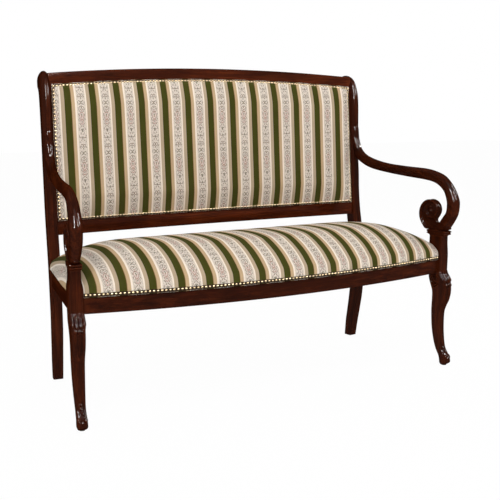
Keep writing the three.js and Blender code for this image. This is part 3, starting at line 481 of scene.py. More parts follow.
def makeGrain():  # long streaks and fine pores that run along the first axis
    tree, nodes, given, result = newGroup(
        "woodGrain",
        [("Place", "Vector", None), ("Streaks", "Float", 60.0), ("Pores", "Float", 420.0)],
        [("Tone", "Float"), ("Pore", "Float")],
    )
    place = given["Place"]
    broad = nodes.noise(nodes.stretch(place, (0.055, 1, 1)), given["Streaks"], 3.0, 0.55, 0.6)
    fine = nodes.noise(nodes.stretch(place, (0.03, 1, 1)), nodes.times(given["Streaks"], 4.5), 2.0, 0.6)
    cloud = nodes.noise(place, 7.0, 2.0)
    pore = nodes.noise(nodes.stretch(place, (0.045, 1, 1)), given["Pores"], 1.0, 0.5)
    nodes.feed(result, {
        "Tone": nodes.weighted((broad, 0.5), (fine, 0.25), (cloud, 0.25)),
        "Pore": nodes.span(pore, 0.62, 0.72, smooth=True),
    })
    return tree


woodGrain = makeGrain()

mahogany = {
    "dark": paint(25, 8, 4),
    "middle": paint(53, 19, 6),
    "light": paint(86, 36, 14),
    "stops": (0.3, 0.5, 0.72),
    "pore": (paint(20, 8, 5), 0.5),
    # the lighter colour on convex edges is partly wear and partly a painted highlight
    "worn": (paint(98, 46, 25), 0.3),
    # the dark colour in hollows is painted shade
    "hollowShade": (paint(14, 6, 4), 0.6),
    "wornAndLitSpan": (0.515, 0.58),
    "hollowShadeSpan": (0.485, 0.44),
    "streaks": 55.0,
    "pores": 460.0,
    "roughness": (0.3, 0.42),
    "lacquerRoughness": 0.06,
    "lacquer": 0.075,
    "lacquerSpan": (0.25, 0.72),
    # the back rails get a lighter copy of the mahogany: painted light
    "backPaintedLight": 1.55,
}


def makeMahogany(name, shade=1.0):
    lacquerRoughness = mahogany["lacquerRoughness"]
    material, nodes, shader = newMaterial(name, Coat_Roughness=lacquerRoughness, Coat_IOR=1.5, Specular_IOR_Level=0.0)
    place = nodes.add("ShaderNodeAttribute", attribute_name="grain").outputs["Vector"]
    inputs = {"Place": place, "Streaks": mahogany["streaks"], "Pores": mahogany["pores"]}
    tone, pore = nodes.group(woodGrain, inputs)[:2]
    shades = [tuple(v * shade for v in mahogany[key][:3]) + (1,) for key in ("dark", "middle", "light")]
    colour = nodes.ramp(tone, list(zip(mahogany["stops"], shades)))
    hollow = nodes.add("ShaderNodeNewGeometry").outputs["Pointiness"]
    # convex edges get a lighter colour: partly wear, partly a painted highlight
    worn = nodes.span(hollow, *mahogany["wornAndLitSpan"], smooth=True)
    # hollows get a darker colour: painted shade
    hollowShade = nodes.span(hollow, *mahogany["hollowShadeSpan"], smooth=True)
    for mask, (layer, share) in ((pore, mahogany["pore"]), (worn, mahogany["worn"]), (hollowShade, mahogany["hollowShade"])):
        colour = nodes.mix(nodes.times(mask, share), colour, layer)
    turned = nodes.add("ShaderNodeLayerWeight", {"Blend": 0.5}).outputs["Facing"]  # no lacquer where it turns away
    nodes.feed(shader, {
        "Base Color": colour,
        "Coat Weight": nodes.span(turned, *mahogany["lacquerSpan"], mahogany["lacquer"], 0.0, smooth=True),
        "Roughness": nodes.span(nodes.noise(place, 22.0, 3.0), 0.3, 0.7, *mahogany["roughness"]),
        "Normal": nodes.bump(nodes.minus(tone, pore), 0.12, 0.0004),
    })
    return material


def makePlainWood(name, dark, light):
    material, nodes, shader = newMaterial(name, Specular_IOR_Level=0.35)
    tone, pore = nodes.group(woodGrain, {"Place": nodes.objectPlace(), "Streaks": 70.0, "Pores": 500.0})[:2]
    nodes.feed(shader, {
        "Base Color": nodes.mix(nodes.times(pore, 0.4), nodes.ramp(tone, [(0.3, dark), (0.7, light)]), dark),
        "Roughness": nodes.span(tone, 0.3, 0.7, 0.55, 0.75),
        "Normal": nodes.bump(tone, 0.2, 0.0005),
    })
    return material


def makeMetal(name, colour, tarnishAndShade, roughness, domed=False):
    material, nodes, shader = newMaterial(name, Metallic=1.0)
    place = nodes.objectPlace()
    cloud = nodes.noise(place, 160.0, 4.0, 0.6)
    share = nodes.span(nodes.weighted((cloud, 0.6), (nodes.noise(place, 24.0, 2.0), 0.4)), 0.42, 0.66)
    if domed:  # bright heads, and dark links between them as painted shade in the gaps
        head = nodes.add("ShaderNodeAttribute", attribute_name="head").outputs["Fac"]
        share = nodes.most([nodes.times(share, 0.6), nodes.minus(1.0, head)])
    nodes.feed(shader, {
        # the tarnish colour is real patina on the heads and painted shade on the links
        "Base Color": nodes.mix(share, colour, tarnishAndShade),
        "Roughness": nodes.span(share, 0, 1, roughness, roughness + 0.22),
        "Normal": nodes.bump(cloud, 0.15, 0.0003),
    })
    return material


def makeThreads():  # crossed threads: a height and a shadow between them
    tree, nodes, given, result = newGroup(
        "crossedThreads",
        [("Place", "Vector", None), ("Pitch", "Float", 0.0008)],
        [("Height", "Float"), ("Between", "Float")],
    )
    parts = nodes.add("ShaderNodeSeparateXYZ", {0: given["Place"]}).outputs
    turns = nodes.math("DIVIDE", math.pi, given["Pitch"])
    warp, weft = (nodes.math("ABSOLUTE", nodes.math("SINE", nodes.times(parts[axis], turns))) for axis in (0, 1))
    height = nodes.times(warp, weft)
    nodes.feed(result, {"Height": height, "Between": nodes.minus(1.0, nodes.span(height, 0.0, 0.5))})
    return tree


crossedThreads = makeThreads()


def makeCloth(name, colour, shadow, pitch):
    material, nodes, shader = newMaterial(name, Sheen_Weight=0.15, Sheen_Roughness=0.6, Specular_IOR_Level=0.15)
    place = nodes.objectPlace()
    height, between = nodes.group(crossedThreads, {"Place": place, "Pitch": pitch})[:2]
    cloud = nodes.noise(place, 30.0, 3.0)
    share = nodes.math("ADD", nodes.times(between, 0.6), nodes.times(cloud, 0.35), clamp=True)
    nodes.feed(shader, {
        "Base Color": nodes.mix(share, colour, shadow),
        "Roughness": nodes.span(cloud, 0.3, 0.7, 0.82, 0.95),
        "Normal": nodes.bump(height, 0.5, 0.0004),
    })
    return material


# The striped cloth: its map runs in metres, across the stripes and along them.
stripes = {
    "repeat": 0.085,
    "motifRepeat": 0.1615,
    "motifStart": 0.013,
    "green": paint(68, 68, 29),
    "brown": paint(128, 92, 54),
    "tan": paint(197, 168, 130),
    "line": paint(240, 228, 213),
    "cream": paint(226, 214, 200),
    "taupe": paint(184, 163, 136),
    "motif": paint(118, 96, 74),
    "rose": paint(164, 100, 88),
    "leaf": paint(88, 80, 56),
    "thread": 0.0007,
    "value": 0.87,
}
millimetres = 1000


def makeOval():
    tree, nodes, given, result = newGroup(
        "motifOval",
        [
            ("Place", "Vector", None), ("Middle", "Vector", (0, 0, 0)), ("Turn", "Vector", (0, 0, 0)),
            ("Radii", "Vector", (1, 1, 1)), ("Line", "Float", 0.15),
        ],
        [("Fill", "Float"), ("Ring", "Float")],
    )
    inside = nodes.add(
        "ShaderNodeMapping",
        {"Vector": given["Place"], "Location": given["Middle"], "Rotation": given["Turn"], "Scale": given["Radii"]},
        vector_type="TEXTURE",
    ).outputs[0]
    reach = nodes.add("ShaderNodeVectorMath", {0: inside}, operation="LENGTH").outputs["Value"]
    off = nodes.math("DIVIDE", nodes.distance(reach, 1.0), given["Line"])
    nodes.feed(result, {
        "Fill": nodes.span(reach, 1.12, 0.88, smooth=True),
        "Ring": nodes.span(off, 1.15, 0.75, smooth=True),
    })
    return tree


# Each oval of the motif: kind, middle across and along, half sizes in millimetres, turn in degrees.
# Across is mirrored about the middle of the cream stripe.
ovals = [
    ("roseRing", 0, 0, 6.4, 11.5, 0), ("rose", 0, -3, 2.2, 3.6, 0), ("leaf", 0, 3, 1.6, 4.4, 0),
    ("motif", 9.8, 3, 1.1, 6, -12), ("motif", 9.6, -10, 1.1, 5, 24), ("roseRing", 0, -20, 4.4, 7, 0),
    ("leaf", 0, -19, 1.4, 3, 0), ("motif", 6.6, -15, 1, 4.6, 30), ("motif", 7, -26, 1.2, 5.4, -38),
    ("motif", 3.4, -34, 1.2, 4.6, 34), ("leaf", 0, -47, 2.5, 5, 0), ("leaf", 3.2, -43, 1, 3.4, 40),
    ("motif", 9.6, -41, 1, 5, 12), ("motif", 4.2, -57, 1.1, 4.4, -30), ("leaf", 0, -69, 1.9, 4.2, 0),
    ("motif", 7, -70, 6.4, 1.2, 6), ("motif", 11, -65, 1.1, 3.6, -30), ("motif", 4, -78, 1.2, 4.4, 28),
    ("motif", 10, 79, 1.1, 4, -16), ("motifRing", 4.2, 66, 3.8, 4.6, 0), ("leaf", 0, 57, 1.5, 3.4, 0),
    ("motif", 10, 61, 1.1, 4.2, -28), ("leaf", 4.6, 46.5, 1.2, 5, -52), ("leaf", 4.6, 38, 1.2, 5, 52),
    ("motif", 0, 42, 1.6, 5, 0), ("motif", 10.6, 42, 1.1, 4.6, 0), ("motifRing", 0, 21, 9, 9.5, 0),
    ("leaf", 0, 26, 1.6, 3.2, 0), ("motif", 3.6, 20, 1.1, 3.6, -36), ("rose", 0, 17, 1.7, 2.4, 0),
]
# Where each band starts, in millimetres from the middle of a green one
bands = [
    (0, "green"), (10.2, "brown"), (11.8, "tan"), (22.6, "line"), (27.8, "cream"), (58.6, "line"), (62.6, "taupe"),
    (74.3, "green"),
]
motif = {
    "middle": 43.2, "creamHalf": (14.6, 13.8), "border": 12.9, "borderHalf": (1.1, 0.4), "dotPitch": 5.0,
    "soft": 0.003, "strengths": {"rose": 0.75, "motif": 0.9, "leaf": 0.92},
}


def motifMasks(nodes, point):  # where the motif's roses, lines and leaves are drawn
    ovalMask = makeOval()
    masks = {kind: [] for kind in motif["strengths"]}
    for kind, x, y, halfX, halfY, turn in ovals:
        inputs = {
            "Place": point,
            "Middle": (x, y, 0),
            "Turn": (0, 0, math.radians(turn)),
            "Radii": (halfX, halfY, 1),
            "Line": 1.0 / min(halfX, halfY),
        }
        fill, ring = nodes.group(ovalMask, inputs)[:2]
        masks[kind.removesuffix("Ring")].append(ring if kind.endswith("Ring") else fill)
    return {kind: nodes.most(found) for kind, found in masks.items()}


def makeStripePattern():
    tree, nodes, given, result = newGroup(
        "stripePattern", [("Place", "Vector", None)], [("Colour", "Color"), ("Relief", "Float")]
    )
    place = given["Place"]
    parts = nodes.add("ShaderNodeSeparateXYZ", {0: place}).outputs
    width, tall = stripes["repeat"] * millimetres, stripes["motifRepeat"] * millimetres
    wave = nodes.minus(nodes.noise(place, 40.0, 2.0), 0.5)
    across = nodes.math("DIVIDE", nodes.plus(parts[0], nodes.times(wave, 0.0006)), stripes["repeat"])
    share = nodes.math("FRACT", nodes.plus(across, 100.0))
    stops = []
    for number, (start, colour) in enumerate(bands):
        soft = motif["soft"] if number else 0
        if number:
            stops.append((start / width - soft, stripes[bands[number - 1][1]]))
        stops.append((start / width + soft, stripes[colour]))
    base = nodes.ramp(share, stops)
    mirrored = nodes.times(nodes.distance(share, motif["middle"] / width), width)
    along = nodes.math("DIVIDE", nodes.minus(parts[1], stripes["motifStart"]), stripes["motifRepeat"])
    along = nodes.times(nodes.minus(nodes.math("FRACT", nodes.plus(along, 100.5)), 0.5), tall)
    drawn = motifMasks(nodes, nodes.add("ShaderNodeCombineXYZ", {0: mirrored, 1: along}).outputs[0])
    worn = nodes.span(nodes.noise(place, 620.0, 2.0), 0.3, 0.6, 0.6, 1.0)
    inCream = nodes.times(nodes.span(mirrored, *motif["creamHalf"]), worn)
    specks = nodes.span(nodes.noise(place, 330.0, 1.0), 0.5, 0.6, 0, 0.5, smooth=True)
    dots = nodes.math("SINE", nodes.times(along, 2 * math.pi / motif["dotPitch"]))
    border = nodes.span(nodes.distance(mirrored, motif["border"]), *motif["borderHalf"])
    border = nodes.times(nodes.times(border, nodes.span(dots, -0.2, 0.5)), 0.5)
    colour = nodes.mix(nodes.times(nodes.most([specks, border]), inCream), base, stripes["motif"])
    for kind, strength in motif["strengths"].items():
        colour = nodes.mix(nodes.times(drawn[kind], nodes.times(inCream, strength)), colour, stripes[kind])
    nodes.feed(result, {"Colour": colour, "Relief": nodes.times(nodes.most(list(drawn.values())), inCream)})
    return tree


def makeStripedCloth():
    plain = {"Sheen_Weight": 0.02, "Sheen_Roughness": 0.5, "Specular_IOR_Level": 0.0}
    material, nodes, shader = newMaterial("stripedCloth", **plain)
    place = nodes.add("ShaderNodeUVMap", uv_map="weave").outputs[0]
    colour, relief = nodes.group(makeStripePattern(), {"Place": place})[:2]
    height, between = nodes.group(crossedThreads, {"Place": place, "Pitch": stripes["thread"]})[:2]
    slub = nodes.noise(nodes.stretch(place, (1, 0.12, 1)), 900.0, 2.0, 0.6)
    shade = nodes.weighted((slub, 0.22), (nodes.noise(place, 9.0, 3.0), 0.14), (between, -0.1))
    tinted = {"Color": colour, "Value": nodes.plus(stripes["value"], shade)}
    nodes.feed(shader, {
        "Base Color": nodes.add("ShaderNodeHueSaturation", tinted).outputs[0],
        "Roughness": nodes.span(slub, 0.3, 0.7, 0.66, 0.84),
        "Normal": nodes.bump(nodes.plus(height, nodes.times(relief, 1.6)), 0.35, 0.0004),
    })
    return material


showWood = makeMahogany("mahogany")
# a lighter mahogany for the crest and lower back rails: painted light
paintedLightBackWood = makeMahogany("mahoganyBackPaintedLight", mahogany["backPaintedLight"])
innerWood = makePlainWood("beech", paint(140, 100, 62), paint(196, 154, 106))
stripedCloth = makeStripedCloth()
brass = makeMetal("antiqueBrass", paint(122, 108, 84), paint(30, 22, 16), 0.4, domed=True)
steel = makeMetal("steel", paint(178, 178, 176), paint(120, 118, 114), 0.34)
felt = makeCloth("felt", paint(96, 88, 78), paint(52, 47, 41), 0.0011)
cambric = makeCloth("blackCambric", paint(46, 45, 44), paint(18, 18, 18), 0.0012)
jute = makeCloth("jute", paint(176, 146, 98), paint(110, 86, 52), 0.002)
print("finishes made")


# Carving


def dome(value):  # a rounded swelling, 1 in the middle and 0 from a distance of 1 on
    return np.sqrt(np.clip(1 - value, 0, 1))


carving = {
    "top": 0.3285, "lobeHeight": 0.041, "lobePitch": 0.0118, "lobeRise": 0.005,
    "budHeight": 0.0125, "budPitch": 0.0096, "budRise": 0.0037,
    "spineTop": 0.272, "spineFoot": 0.2, "spineHalf": 0.0058, "spineFade": 0.006,
    "spineRise": 0.0008, "spineCut": 0.0013, "grooveHalf": 0.001, "ridgeLeast": 0.0008,
    "voluteForward": -0.041, "voluteHeight": 0.2925, "voluteRadius": 0.0235, "voluteRise": 0.0026,
    "voluteLine": 0.003, "voluteDish": 0.0022, "volutePitch": 0.3,
    "beads": [(0.0665, 0.0028), (0.056, 0.0037), (0.047, 0.0037)], "beadRise": 0.0028,
    "curlHeight": 0.03, "curlAcross": 0.0098, "curlHalf": (0.006, 0.0068), "curlRise": 0.0032,
    "budDrop": 0.008, "budHalf": (0.0044, 0.0052),
    "toeLine": 0.0115, "toeLineBow": 90, "toeLineHalf": 0.0014, "toeLineCut": 0.0013,
}


def kneeCarving(around, up):
    lift = np.zeros_like(around)
    top, lobeHeight, budHeight = carving["top"], carving["lobeHeight"], carving["budHeight"]
    for number in (-1.5, -0.5, 0.5, 1.5):  # a row of leaf lobes hangs under the rail
        height = lobeHeight * (1 - 0.07 * abs(number))
        middle = top - height / 2
        level = (middle - up) / (height / 2)
        off = (around - number * carving["lobePitch"]) / (carving["lobePitch"] * 0.47)
        fall = 0.45 + 0.55 * np.clip((top - up) / height, 0, 1)
        crease = 1 - 0.35 * np.exp(-((off / 0.22) ** 2)) * np.clip(level + 0.6, 0, 1)
        lift = np.maximum(lift, carving["lobeRise"] * dome(off**2 + level**4) * fall * crease)
    for number in (-1, 0, 1):  # a smaller row below it
        middle = top - lobeHeight - budHeight * (0.62 - 0.12 * abs(number))
        off = (around - number * carving["budPitch"]) / (carving["budPitch"] * 0.5)
        lift = np.maximum(lift, carving["budRise"] * dome(off**2 + ((up - middle) / (budHeight / 2)) ** 2))
    belowTop, aboveFoot = carving["spineTop"] - up, up - carving["spineFoot"]
    share = np.clip(aboveFoot / (carving["spineTop"] - carving["spineFoot"]), 0, 1)
    half = carving["spineHalf"] * share**0.6
    inSpan = np.clip(belowTop / carving["spineFade"], 0, 1) * np.clip(aboveFoot / carving["spineFade"], 0, 1)
    groove = np.exp(-(((np.abs(around) - half) / carving["grooveHalf"]) ** 2))
    ridge = np.exp(-((around / np.maximum(half * 0.55, carving["ridgeLeast"])) ** 2))
    return lift + inSpan * (carving["spineRise"] * ridge - carving["spineCut"] * groove)


def voluteCarving(forward, up):
    x, z = forward - carving["voluteForward"], up - carving["voluteHeight"]
    reach, angle = np.hypot(x, z), np.arctan2(z, x)
    radius = carving["voluteRadius"]
    turn = (angle + math.pi / 2) % (2 * math.pi) / (2 * math.pi)
    lift = np.zeros_like(reach)
    for lap in range(3):  # a rolled edge that winds in to the eye
        line = radius * (1 - carving["volutePitch"] * (turn + lap))
        wide = np.maximum(carving["voluteLine"] * (1 - 0.2 * (turn + lap)), 1e-4)
        lift = np.maximum(lift, np.where(line > 0.2 * radius, dome((reach - line) ** 2 / wide**2), 0))
    lift = np.maximum(lift, dome((reach / (0.24 * radius)) ** 2))
    dish = np.clip(1 - (reach / radius) ** 2, 0, 1)
    return carving["voluteRise"] * lift - carving["voluteDish"] * np.sqrt(dish) * (1 - lift)


def toeCarving(around, up, facing):
    lift = np.zeros_like(around)
    for height, size in carving["beads"]:
        lift = np.maximum(lift, carving["beadRise"] * dome((around**2 + (up - height) ** 2) / size**2))
    above = up - carving["curlHeight"]
    (curlX, curlZ), (budX, budZ) = carving["curlHalf"], carving["budHalf"]
    curl = dome(((np.abs(around) - carving["curlAcross"]) / curlX) ** 2 + (above / curlZ) ** 2)
    middle = dome((around / budX) ** 2 + ((above + carving["budDrop"]) / budZ) ** 2)
    level = above - carving["toeLine"] + carving["toeLineBow"] * around**2
    line = np.exp(-((level / carving["toeLineHalf"]) ** 2)) * np.clip(facing * 1.5, 0, 1)
    return lift + carving["curlRise"] * np.maximum(curl, 0.85 * middle) - carving["toeLineCut"] * line


def legHeights():  # rings lie closer together where the leg is carved
    parts = ((0, 0.07, 56), (0.07, 0.19, 36), (0.19, 0.335, 136))
    low = [np.linspace(start, end, count)[:-1] for start, end, count in parts]
    return np.concatenate([*low, np.linspace(parts[-1][1], leg["height"], 30)])


def makeLeg(side):
    rows = curveRows(legRows, leg["rings"] * 3)
    up = legHeights()
    rows = np.stack([np.interp(up, rows[:, 0] * leg["height"], column) for column in rows.T], -1)
    fronts, rears = (np.stack([rows[:, column] * leg["depth"], np.zeros_like(up), up], -1) for column in (1, 2))
    corners = np.interp(up, leg["cornerHeights"], leg["corners"])
    sections = np.stack([roundedSection(corner, corner, leg["sides"]) for corner in corners])
    rings = edgeRings(fronts, rears, rows[:, 3] * leg["width"] / 2, sections)
    step = np.linalg.norm(np.diff(rings, axis=1, append=rings[:, :1]), axis=-1)
    along = np.concatenate([np.zeros((len(up), 1)), np.cumsum(step, 1)[:, :-1]], 1)
    total = step.sum(1, keepdims=True)
    around = np.where(along > total / 2, along - total, along)
    tangent = np.roll(rings, -1, 1) - np.roll(rings, 1, 1)
    outward = np.stack([tangent[..., 1], -tangent[..., 0], np.zeros_like(around)], -1)
    outward /= np.linalg.norm(outward, axis=-1, keepdims=True)
    height = np.broadcast_to(up[:, None], around.shape)
    inward = np.clip((-outward[..., 1] - 0.75) / 0.2, 0, 1)
    lift = kneeCarving(around, height) + voluteCarving(rings[..., 0], height) * inward
    lift = lift + toeCarving(around, height, outward[..., 0])
    rings = rings + outward * lift[..., None]
    grain = np.stack([height, rings[..., 0] + 0.3 * side, rings[..., 1]], -1)
    makeSidePiece("frontLeg", "front_leg", side, *cappedLoft(rings), cappedValues(grain), sharp=60)


def makePost(side):
    rows = curveRows(postRows, post["rings"])
    fronts, rears = (sideLine(rows, column, post["depth"], 0, postHeight) for column in (0, 2))
    sections = np.stack([roundedSection(min(row[5], 1), post["rearCorner"], post["sides"]) for row in rows])
    rings = edgeRings(fronts, rears, rows[:, 4] * post["width"] / 2, sections)
    middle = (fronts + rears) / 2
    off = rings - middle[:, None]
    length = np.broadcast_to(lengthAlong(middle)[:, None], off.shape[:2])
    grain = np.stack([length, off[..., 0] + 0.2 * side, off[..., 1] + 0.1], -1)
    makeSidePiece("rearPost", "rear_post", side, *cappedLoft(rings), cappedValues(grain), sharp=50)


def loftArm():
    rows = curveRows(armRows, arm["rings"])
    outers, inners = (sideLine(rows, column, armReach, collarTop, arm["rise"]) for column in (0, 2))
    section = roundedSection(1, 1, arm["sides"])
    sections = np.broadcast_to(section, (len(rows), *section.shape))
    return edgeRings(outers, inners, rows[:, 4] * arm["width"] / 2, sections), (outers + inners) / 2


def scrollSlab():  # the scroll's flat body with rounded edges
    outline = curveRows(scrollRows, 90) * scroll["radius"] + [-scroll["forward"], scroll["height"]]
    along = np.roll(outline, -1, 0) - np.roll(outline, 1, 0)
    normal = np.stack([-along[:, 1], along[:, 0]], -1)
    normal /= np.linalg.norm(normal, axis=1, keepdims=True)
    area = np.sum(outline[:, 0] * np.roll(outline[:, 1], -1) - np.roll(outline[:, 0], -1) * outline[:, 1])
    normal *= -1 if area > 0 else 1
    half, edge = scroll["width"] / 2, scroll["edge"]
    rings = []
    for face, angles in ((-half + edge, (-90, -60, -30, 0)), (half - edge, (0, 30, 60, 90))):
        for angle in np.radians(angles):
            grown = outline + normal * edge * (math.cos(angle) - 1)
            across = np.full(len(outline), face + edge * math.sin(angle))
            rings.append(np.stack([grown[:, 0], across, grown[:, 1]], -1))
    return np.stack(rings)


# How far the scroll's rim stands from its eye, in millimetres, at each angle in degrees
scrollRim = [
    (-78, 76), (-95, 68), (-130, 55), (-166, 46), (-215, 37), (-265, 32.5), (-310, 32), (-356, 31.5),
    (-400, 27.5), (-450, 23.5), (-500, 20), (-540, 17.5), (-600, 13.5), (-650, 10.5),
]


def aroundEye(angle, reach, out):  # places round the scroll's eye
    x = scroll["eyeForward"] + np.cos(angle) * reach
    return np.stack([x, out, scroll["eyeHeight"] + np.sin(angle) * reach], -1)


def spiralRoll(side):  # a rolled edge on the scroll's face, from the neck in to the eye
    table = np.array(scrollRim, float)
    steps, ease = scroll["rimSteps"], scroll["rimEase"]
    angle = np.linspace(table[0, 0], table[-1, 0], steps)
    reach = np.interp(-angle, -table[:, 0], table[:, 1]) / millimetres
    window = np.ones(2 * ease + 1) / (2 * ease + 1)
    reach = np.convolve(np.pad(reach, ease, mode="edge"), window, mode="valid")
    share = np.linspace(0, 1, steps)
    out = side * scroll["rimOut"] * np.interp(share, [0, 0.5, 1], [1, 0.98, 0.9])
    radius = scroll["rimRadius"] * np.interp(share, [0, 0.12, 0.5, 1], [0.5, 1, 0.85, 0.6])
    return tubeRings(aroundEye(np.radians(angle), reach, out), radius, 16)


def tubeRings(path, radius, sides):
    tangent = np.gradient(path, axis=0)
    tangent /= np.linalg.norm(tangent, axis=1, keepdims=True)
    across = np.broadcast_to([0.0, 1.0, 0.0], path.shape)
    beside = np.cross(tangent, across)
    beside /= np.linalg.norm(beside, axis=1, keepdims=True)
    angles = np.linspace(0, 2 * math.pi, sides, endpoint=False)[None, :, None]
    turned = np.cos(angles) * beside[:, None] + np.sin(angles) * across[:, None]
    return path[:, None] + radius[:, None, None] * turned


def eyeRings(side):  # a small rosette in the middle of the scroll
    sides, rows = 48, 12
    angles = np.linspace(0, 2 * math.pi, sides, endpoint=False)
    face = side * scroll["width"] / 2
    rings = []
    for row in range(rows):
        share = 1 - row / (rows - 0.5)
        petals = 1 + 0.1 * np.cos(scroll["petals"] * angles) * (share > 0.45)
        rise = scroll["eyeRise"] * math.sqrt(1 - share**2) * (0.75 if share > 0.4 else 1.15)
        rings.append(aroundEye(angles, scroll["eyeRadius"] * share * petals, np.full(sides, face + side * rise)))
    base = rings[0] - [0, side * scroll["edge"], 0]
    return np.stack([base, *rings])


def joinedSolid(parts, name):
    points, faces, start = [], [], 0
    for rings in parts:
        found, sides = cappedLoft(rings)
        points.append(found)
        faces += [tuple(int(v) + start for v in face) for face in sides]
        start += len(found)
    mesh = newMesh(name, np.concatenate(points), faces)
    turnOutward(mesh)
    return mesh


def fusedMesh(mesh, voxel, smoothing):  # one closed skin round overlapping solids
    piece = newObject("fusing", mesh)
    remesh = piece.modifiers.new("fuse", "REMESH")
    remesh.mode = "VOXEL"
    remesh.voxel_size = voxel
    smooth = piece.modifiers.new("ease", "SMOOTH")
    smooth.factor = 0.5
    smooth.iterations = smoothing
    result = evaluatedMesh(piece)
    bpy.data.objects.remove(piece)
    return result


def cutBelow(mesh, height):  # a flat foot where a piece stands on the one below it
    work = bmesh.new()
    work.from_mesh(mesh)
    parts = work.verts[:] + work.edges[:] + work.faces[:]
    bmesh.ops.bisect_plane(work, geom=parts, dist=1e-7, plane_co=(0, 0, height), plane_no=(0, 0, -1), clear_outer=True)
    bmesh.ops.holes_fill(work, edges=[edge for edge in work.edges if edge.is_boundary])
    work.to_mesh(mesh)
    work.free()


def meshPoints(mesh):
    points = np.zeros(len(mesh.vertices) * 3, np.float32)
    mesh.vertices.foreach_get("co", points)
    return points.reshape(-1, 3).astype(float)


def nearestAlong(points, line, batch=4000):  # how far along a line each point lies
    length = lengthAlong(line)
    found = np.zeros(len(points))
    for start in range(0, len(points), batch):
        gap = np.linalg.norm(points[start:start + batch, None] - line[None], axis=2)
        found[start:start + batch] = length[gap.argmin(1)]
    return found


def scrollMiddle(steps=120):  # the line that the grain follows from the neck of the scroll to its eye
    angle = np.linspace(math.radians(-60), math.radians(-560), steps)
    return aroundEye(angle, scroll["radius"] * np.linspace(0.7, 0.1, steps), np.zeros(steps))


def makeArms():
    rings, middle = loftArm()
    solids = [rings, scrollSlab()]
    for side in (1, -1):
        solids += [spiralRoll(side), eyeRings(side)]
    mesh = fusedMesh(joinedSolid(solids, "armSolids"), arm["voxel"], arm["smoothing"])
    cutBelow(mesh, collarTop + plan["woodGap"])
    points = meshPoints(mesh)
    along = nearestAlong(points, np.concatenate([middle, scrollMiddle()])[::2])
    faces = [tuple(polygon.vertices) for polygon in mesh.polygons]
    for side in (1, -1):
        grain = np.stack([along, points[:, 1] + 0.4 * side, points[:, 2] * 0.6 + points[:, 0] * 0.3], -1)
        makeSidePiece("scrollArm", "arm", side, points, faces, grain)
    bpy.data.meshes.remove(mesh)


def makeCollar(side):
    rows = np.array(collarRows)
    section = roundedSection(collar["corner"], collar["corner"], 64)
    up = collarBottom + rows[:, 0] * collar["height"]
    forward = legMiddle + section[None, :, 0] * rows[:, 1:2] * collar["length"] / 2
    across = section[None, :, 1] * rows[:, 2:3] * collar["width"] / 2
    points, faces = cappedLoft(np.stack([forward, across, np.broadcast_to(up[:, None], forward.shape)], -1))
    makeSidePiece("armCollar", "arm_collar", side, points, faces, points + [0.5, 0.2 * side, 0], sharp=50)


# Rails


def roundedEdge(half, depth, edge, steps=5):  # unit outline of a board's end with eased corners
    outline = []
    for across, up, turn in ((1, 1, 0), (-1, 1, 1), (-1, -1, 2), (1, -1, 3)):
        for step in np.linspace(0, 1, steps):
            angle = (turn + step) * math.pi / 2
            corner = across * (half - edge), up * (depth - edge)
            outline.append((corner[0] + math.cos(angle) * edge, corner[1] + math.sin(angle) * edge))
    return np.array(outline)


def sizeAt(size, x):  # a size is a number, or a rule along the board
    return size(x) if callable(size) else size


def boardRings(xs, sizes, edge):  # sizes are a board's front, rear, low and high faces
    rings = []
    for x in xs:
        front, rear, low, high = (sizeAt(size, x) for size in sizes)
        section = roundedEdge((rear - front) / 2, (high - low) / 2, edge)
        middle = [(front + rear) / 2, (low + high) / 2]
        rings.append(np.insert(section + middle, 0, x, axis=1))
    return np.stack(rings)


def makeBoard(name, half, sizes, edge, place, node, seed, material):
    points, faces = cappedLoft(boardRings(np.linspace(-half, half, 121), sizes, edge))
    grain = points + [seed, seed * 0.37, seed * 0.61]
    makePiece(name, place(points), faces, material, [node], grain, sharp=50)


def makeSideRail(side):
    xs = np.linspace(legRear + rails["lap"], postFront - rails["lap"], 30)
    sizes = (rails["sideFace"] - rails["sideThickness"], rails["sideFace"], rails["bottom"], railTop)
    points, faces = cappedLoft(boardRings(xs, sizes, rails["edge"]))
    makeSidePiece("sideRail", "side_rail", side, points, faces, points + [0.7 * side, 0.33, 0.21 * side], sharp=50)


def makeRails():
    upright = (rails["bottom"], railTop)
    front = (frontRailFace, lambda x: frontRailFace(x) + rails["frontThickness"], *upright)
    makeBoard("frontRail", frontRailHalf + rails["lap"], front, rails["edge"], onFloor, "front_rail", 0.13, showWood)
    rearHalf = sideX(rearRailFront, postInner) + rails["rearLap"]
    rear = (rearRailFront, rearRailRear, *upright)
    makeBoard("rearSeatRail", rearHalf, rear, rails["edge"], onFloor, "rear_seat_rail", 1.7, showWood)
    faces = (hollowAt, lambda x: hollowAt(x) + back["thickness"])
    half = backHalf + rails["lap"]
    low = (*faces, -lowerRail["height"], lowerRail["lap"])
    makeBoard("lowerBackRail", half, low, lowerRail["edge"], fromBack, "lower_back_rail", 2.3, paintedLightBackWood)
    bottom, top = panel["height"] - crest["lap"], panel["height"] + crest["height"]
    high = (*faces, lambda x: bottom + archAt(x), lambda x: top + archAt(x))
    makeBoard("crestRail", half, high, crest["edge"], fromBack, "crest_rail", 3.1, paintedLightBackWood)


for side in (1, -1):
    makeLeg(side)
    makePost(side)
    makeCollar(side)
    makeSideRail(side)
makeArms()
makeRails()
print("show wood made")


# Upholstery


def swell(distance, run, power, root):  # from 0 at an edge to 1 where the roll ends
    left = 1 - np.clip(distance / run, 0, 1)
    return (1 - left**power) ** (1 / root)


def spread(count, push):  # even places from 0 to 1, closer together at both ends
    t = np.linspace(0, 1, count)
    return (1 - push) * t + push * (1 - np.cos(math.pi * t)) / 2


def seatPlan(widthShare, depthShare, margin):
    x = widthShare * frontRailHalf
    for _ in range(5):
        y = (frontRailFace(x) - margin) * (1 - depthShare) + (rearRailRear + margin) * depthShare
        x = widthShare * sideX(y, rails["sideFace"] + margin)
    return x, y


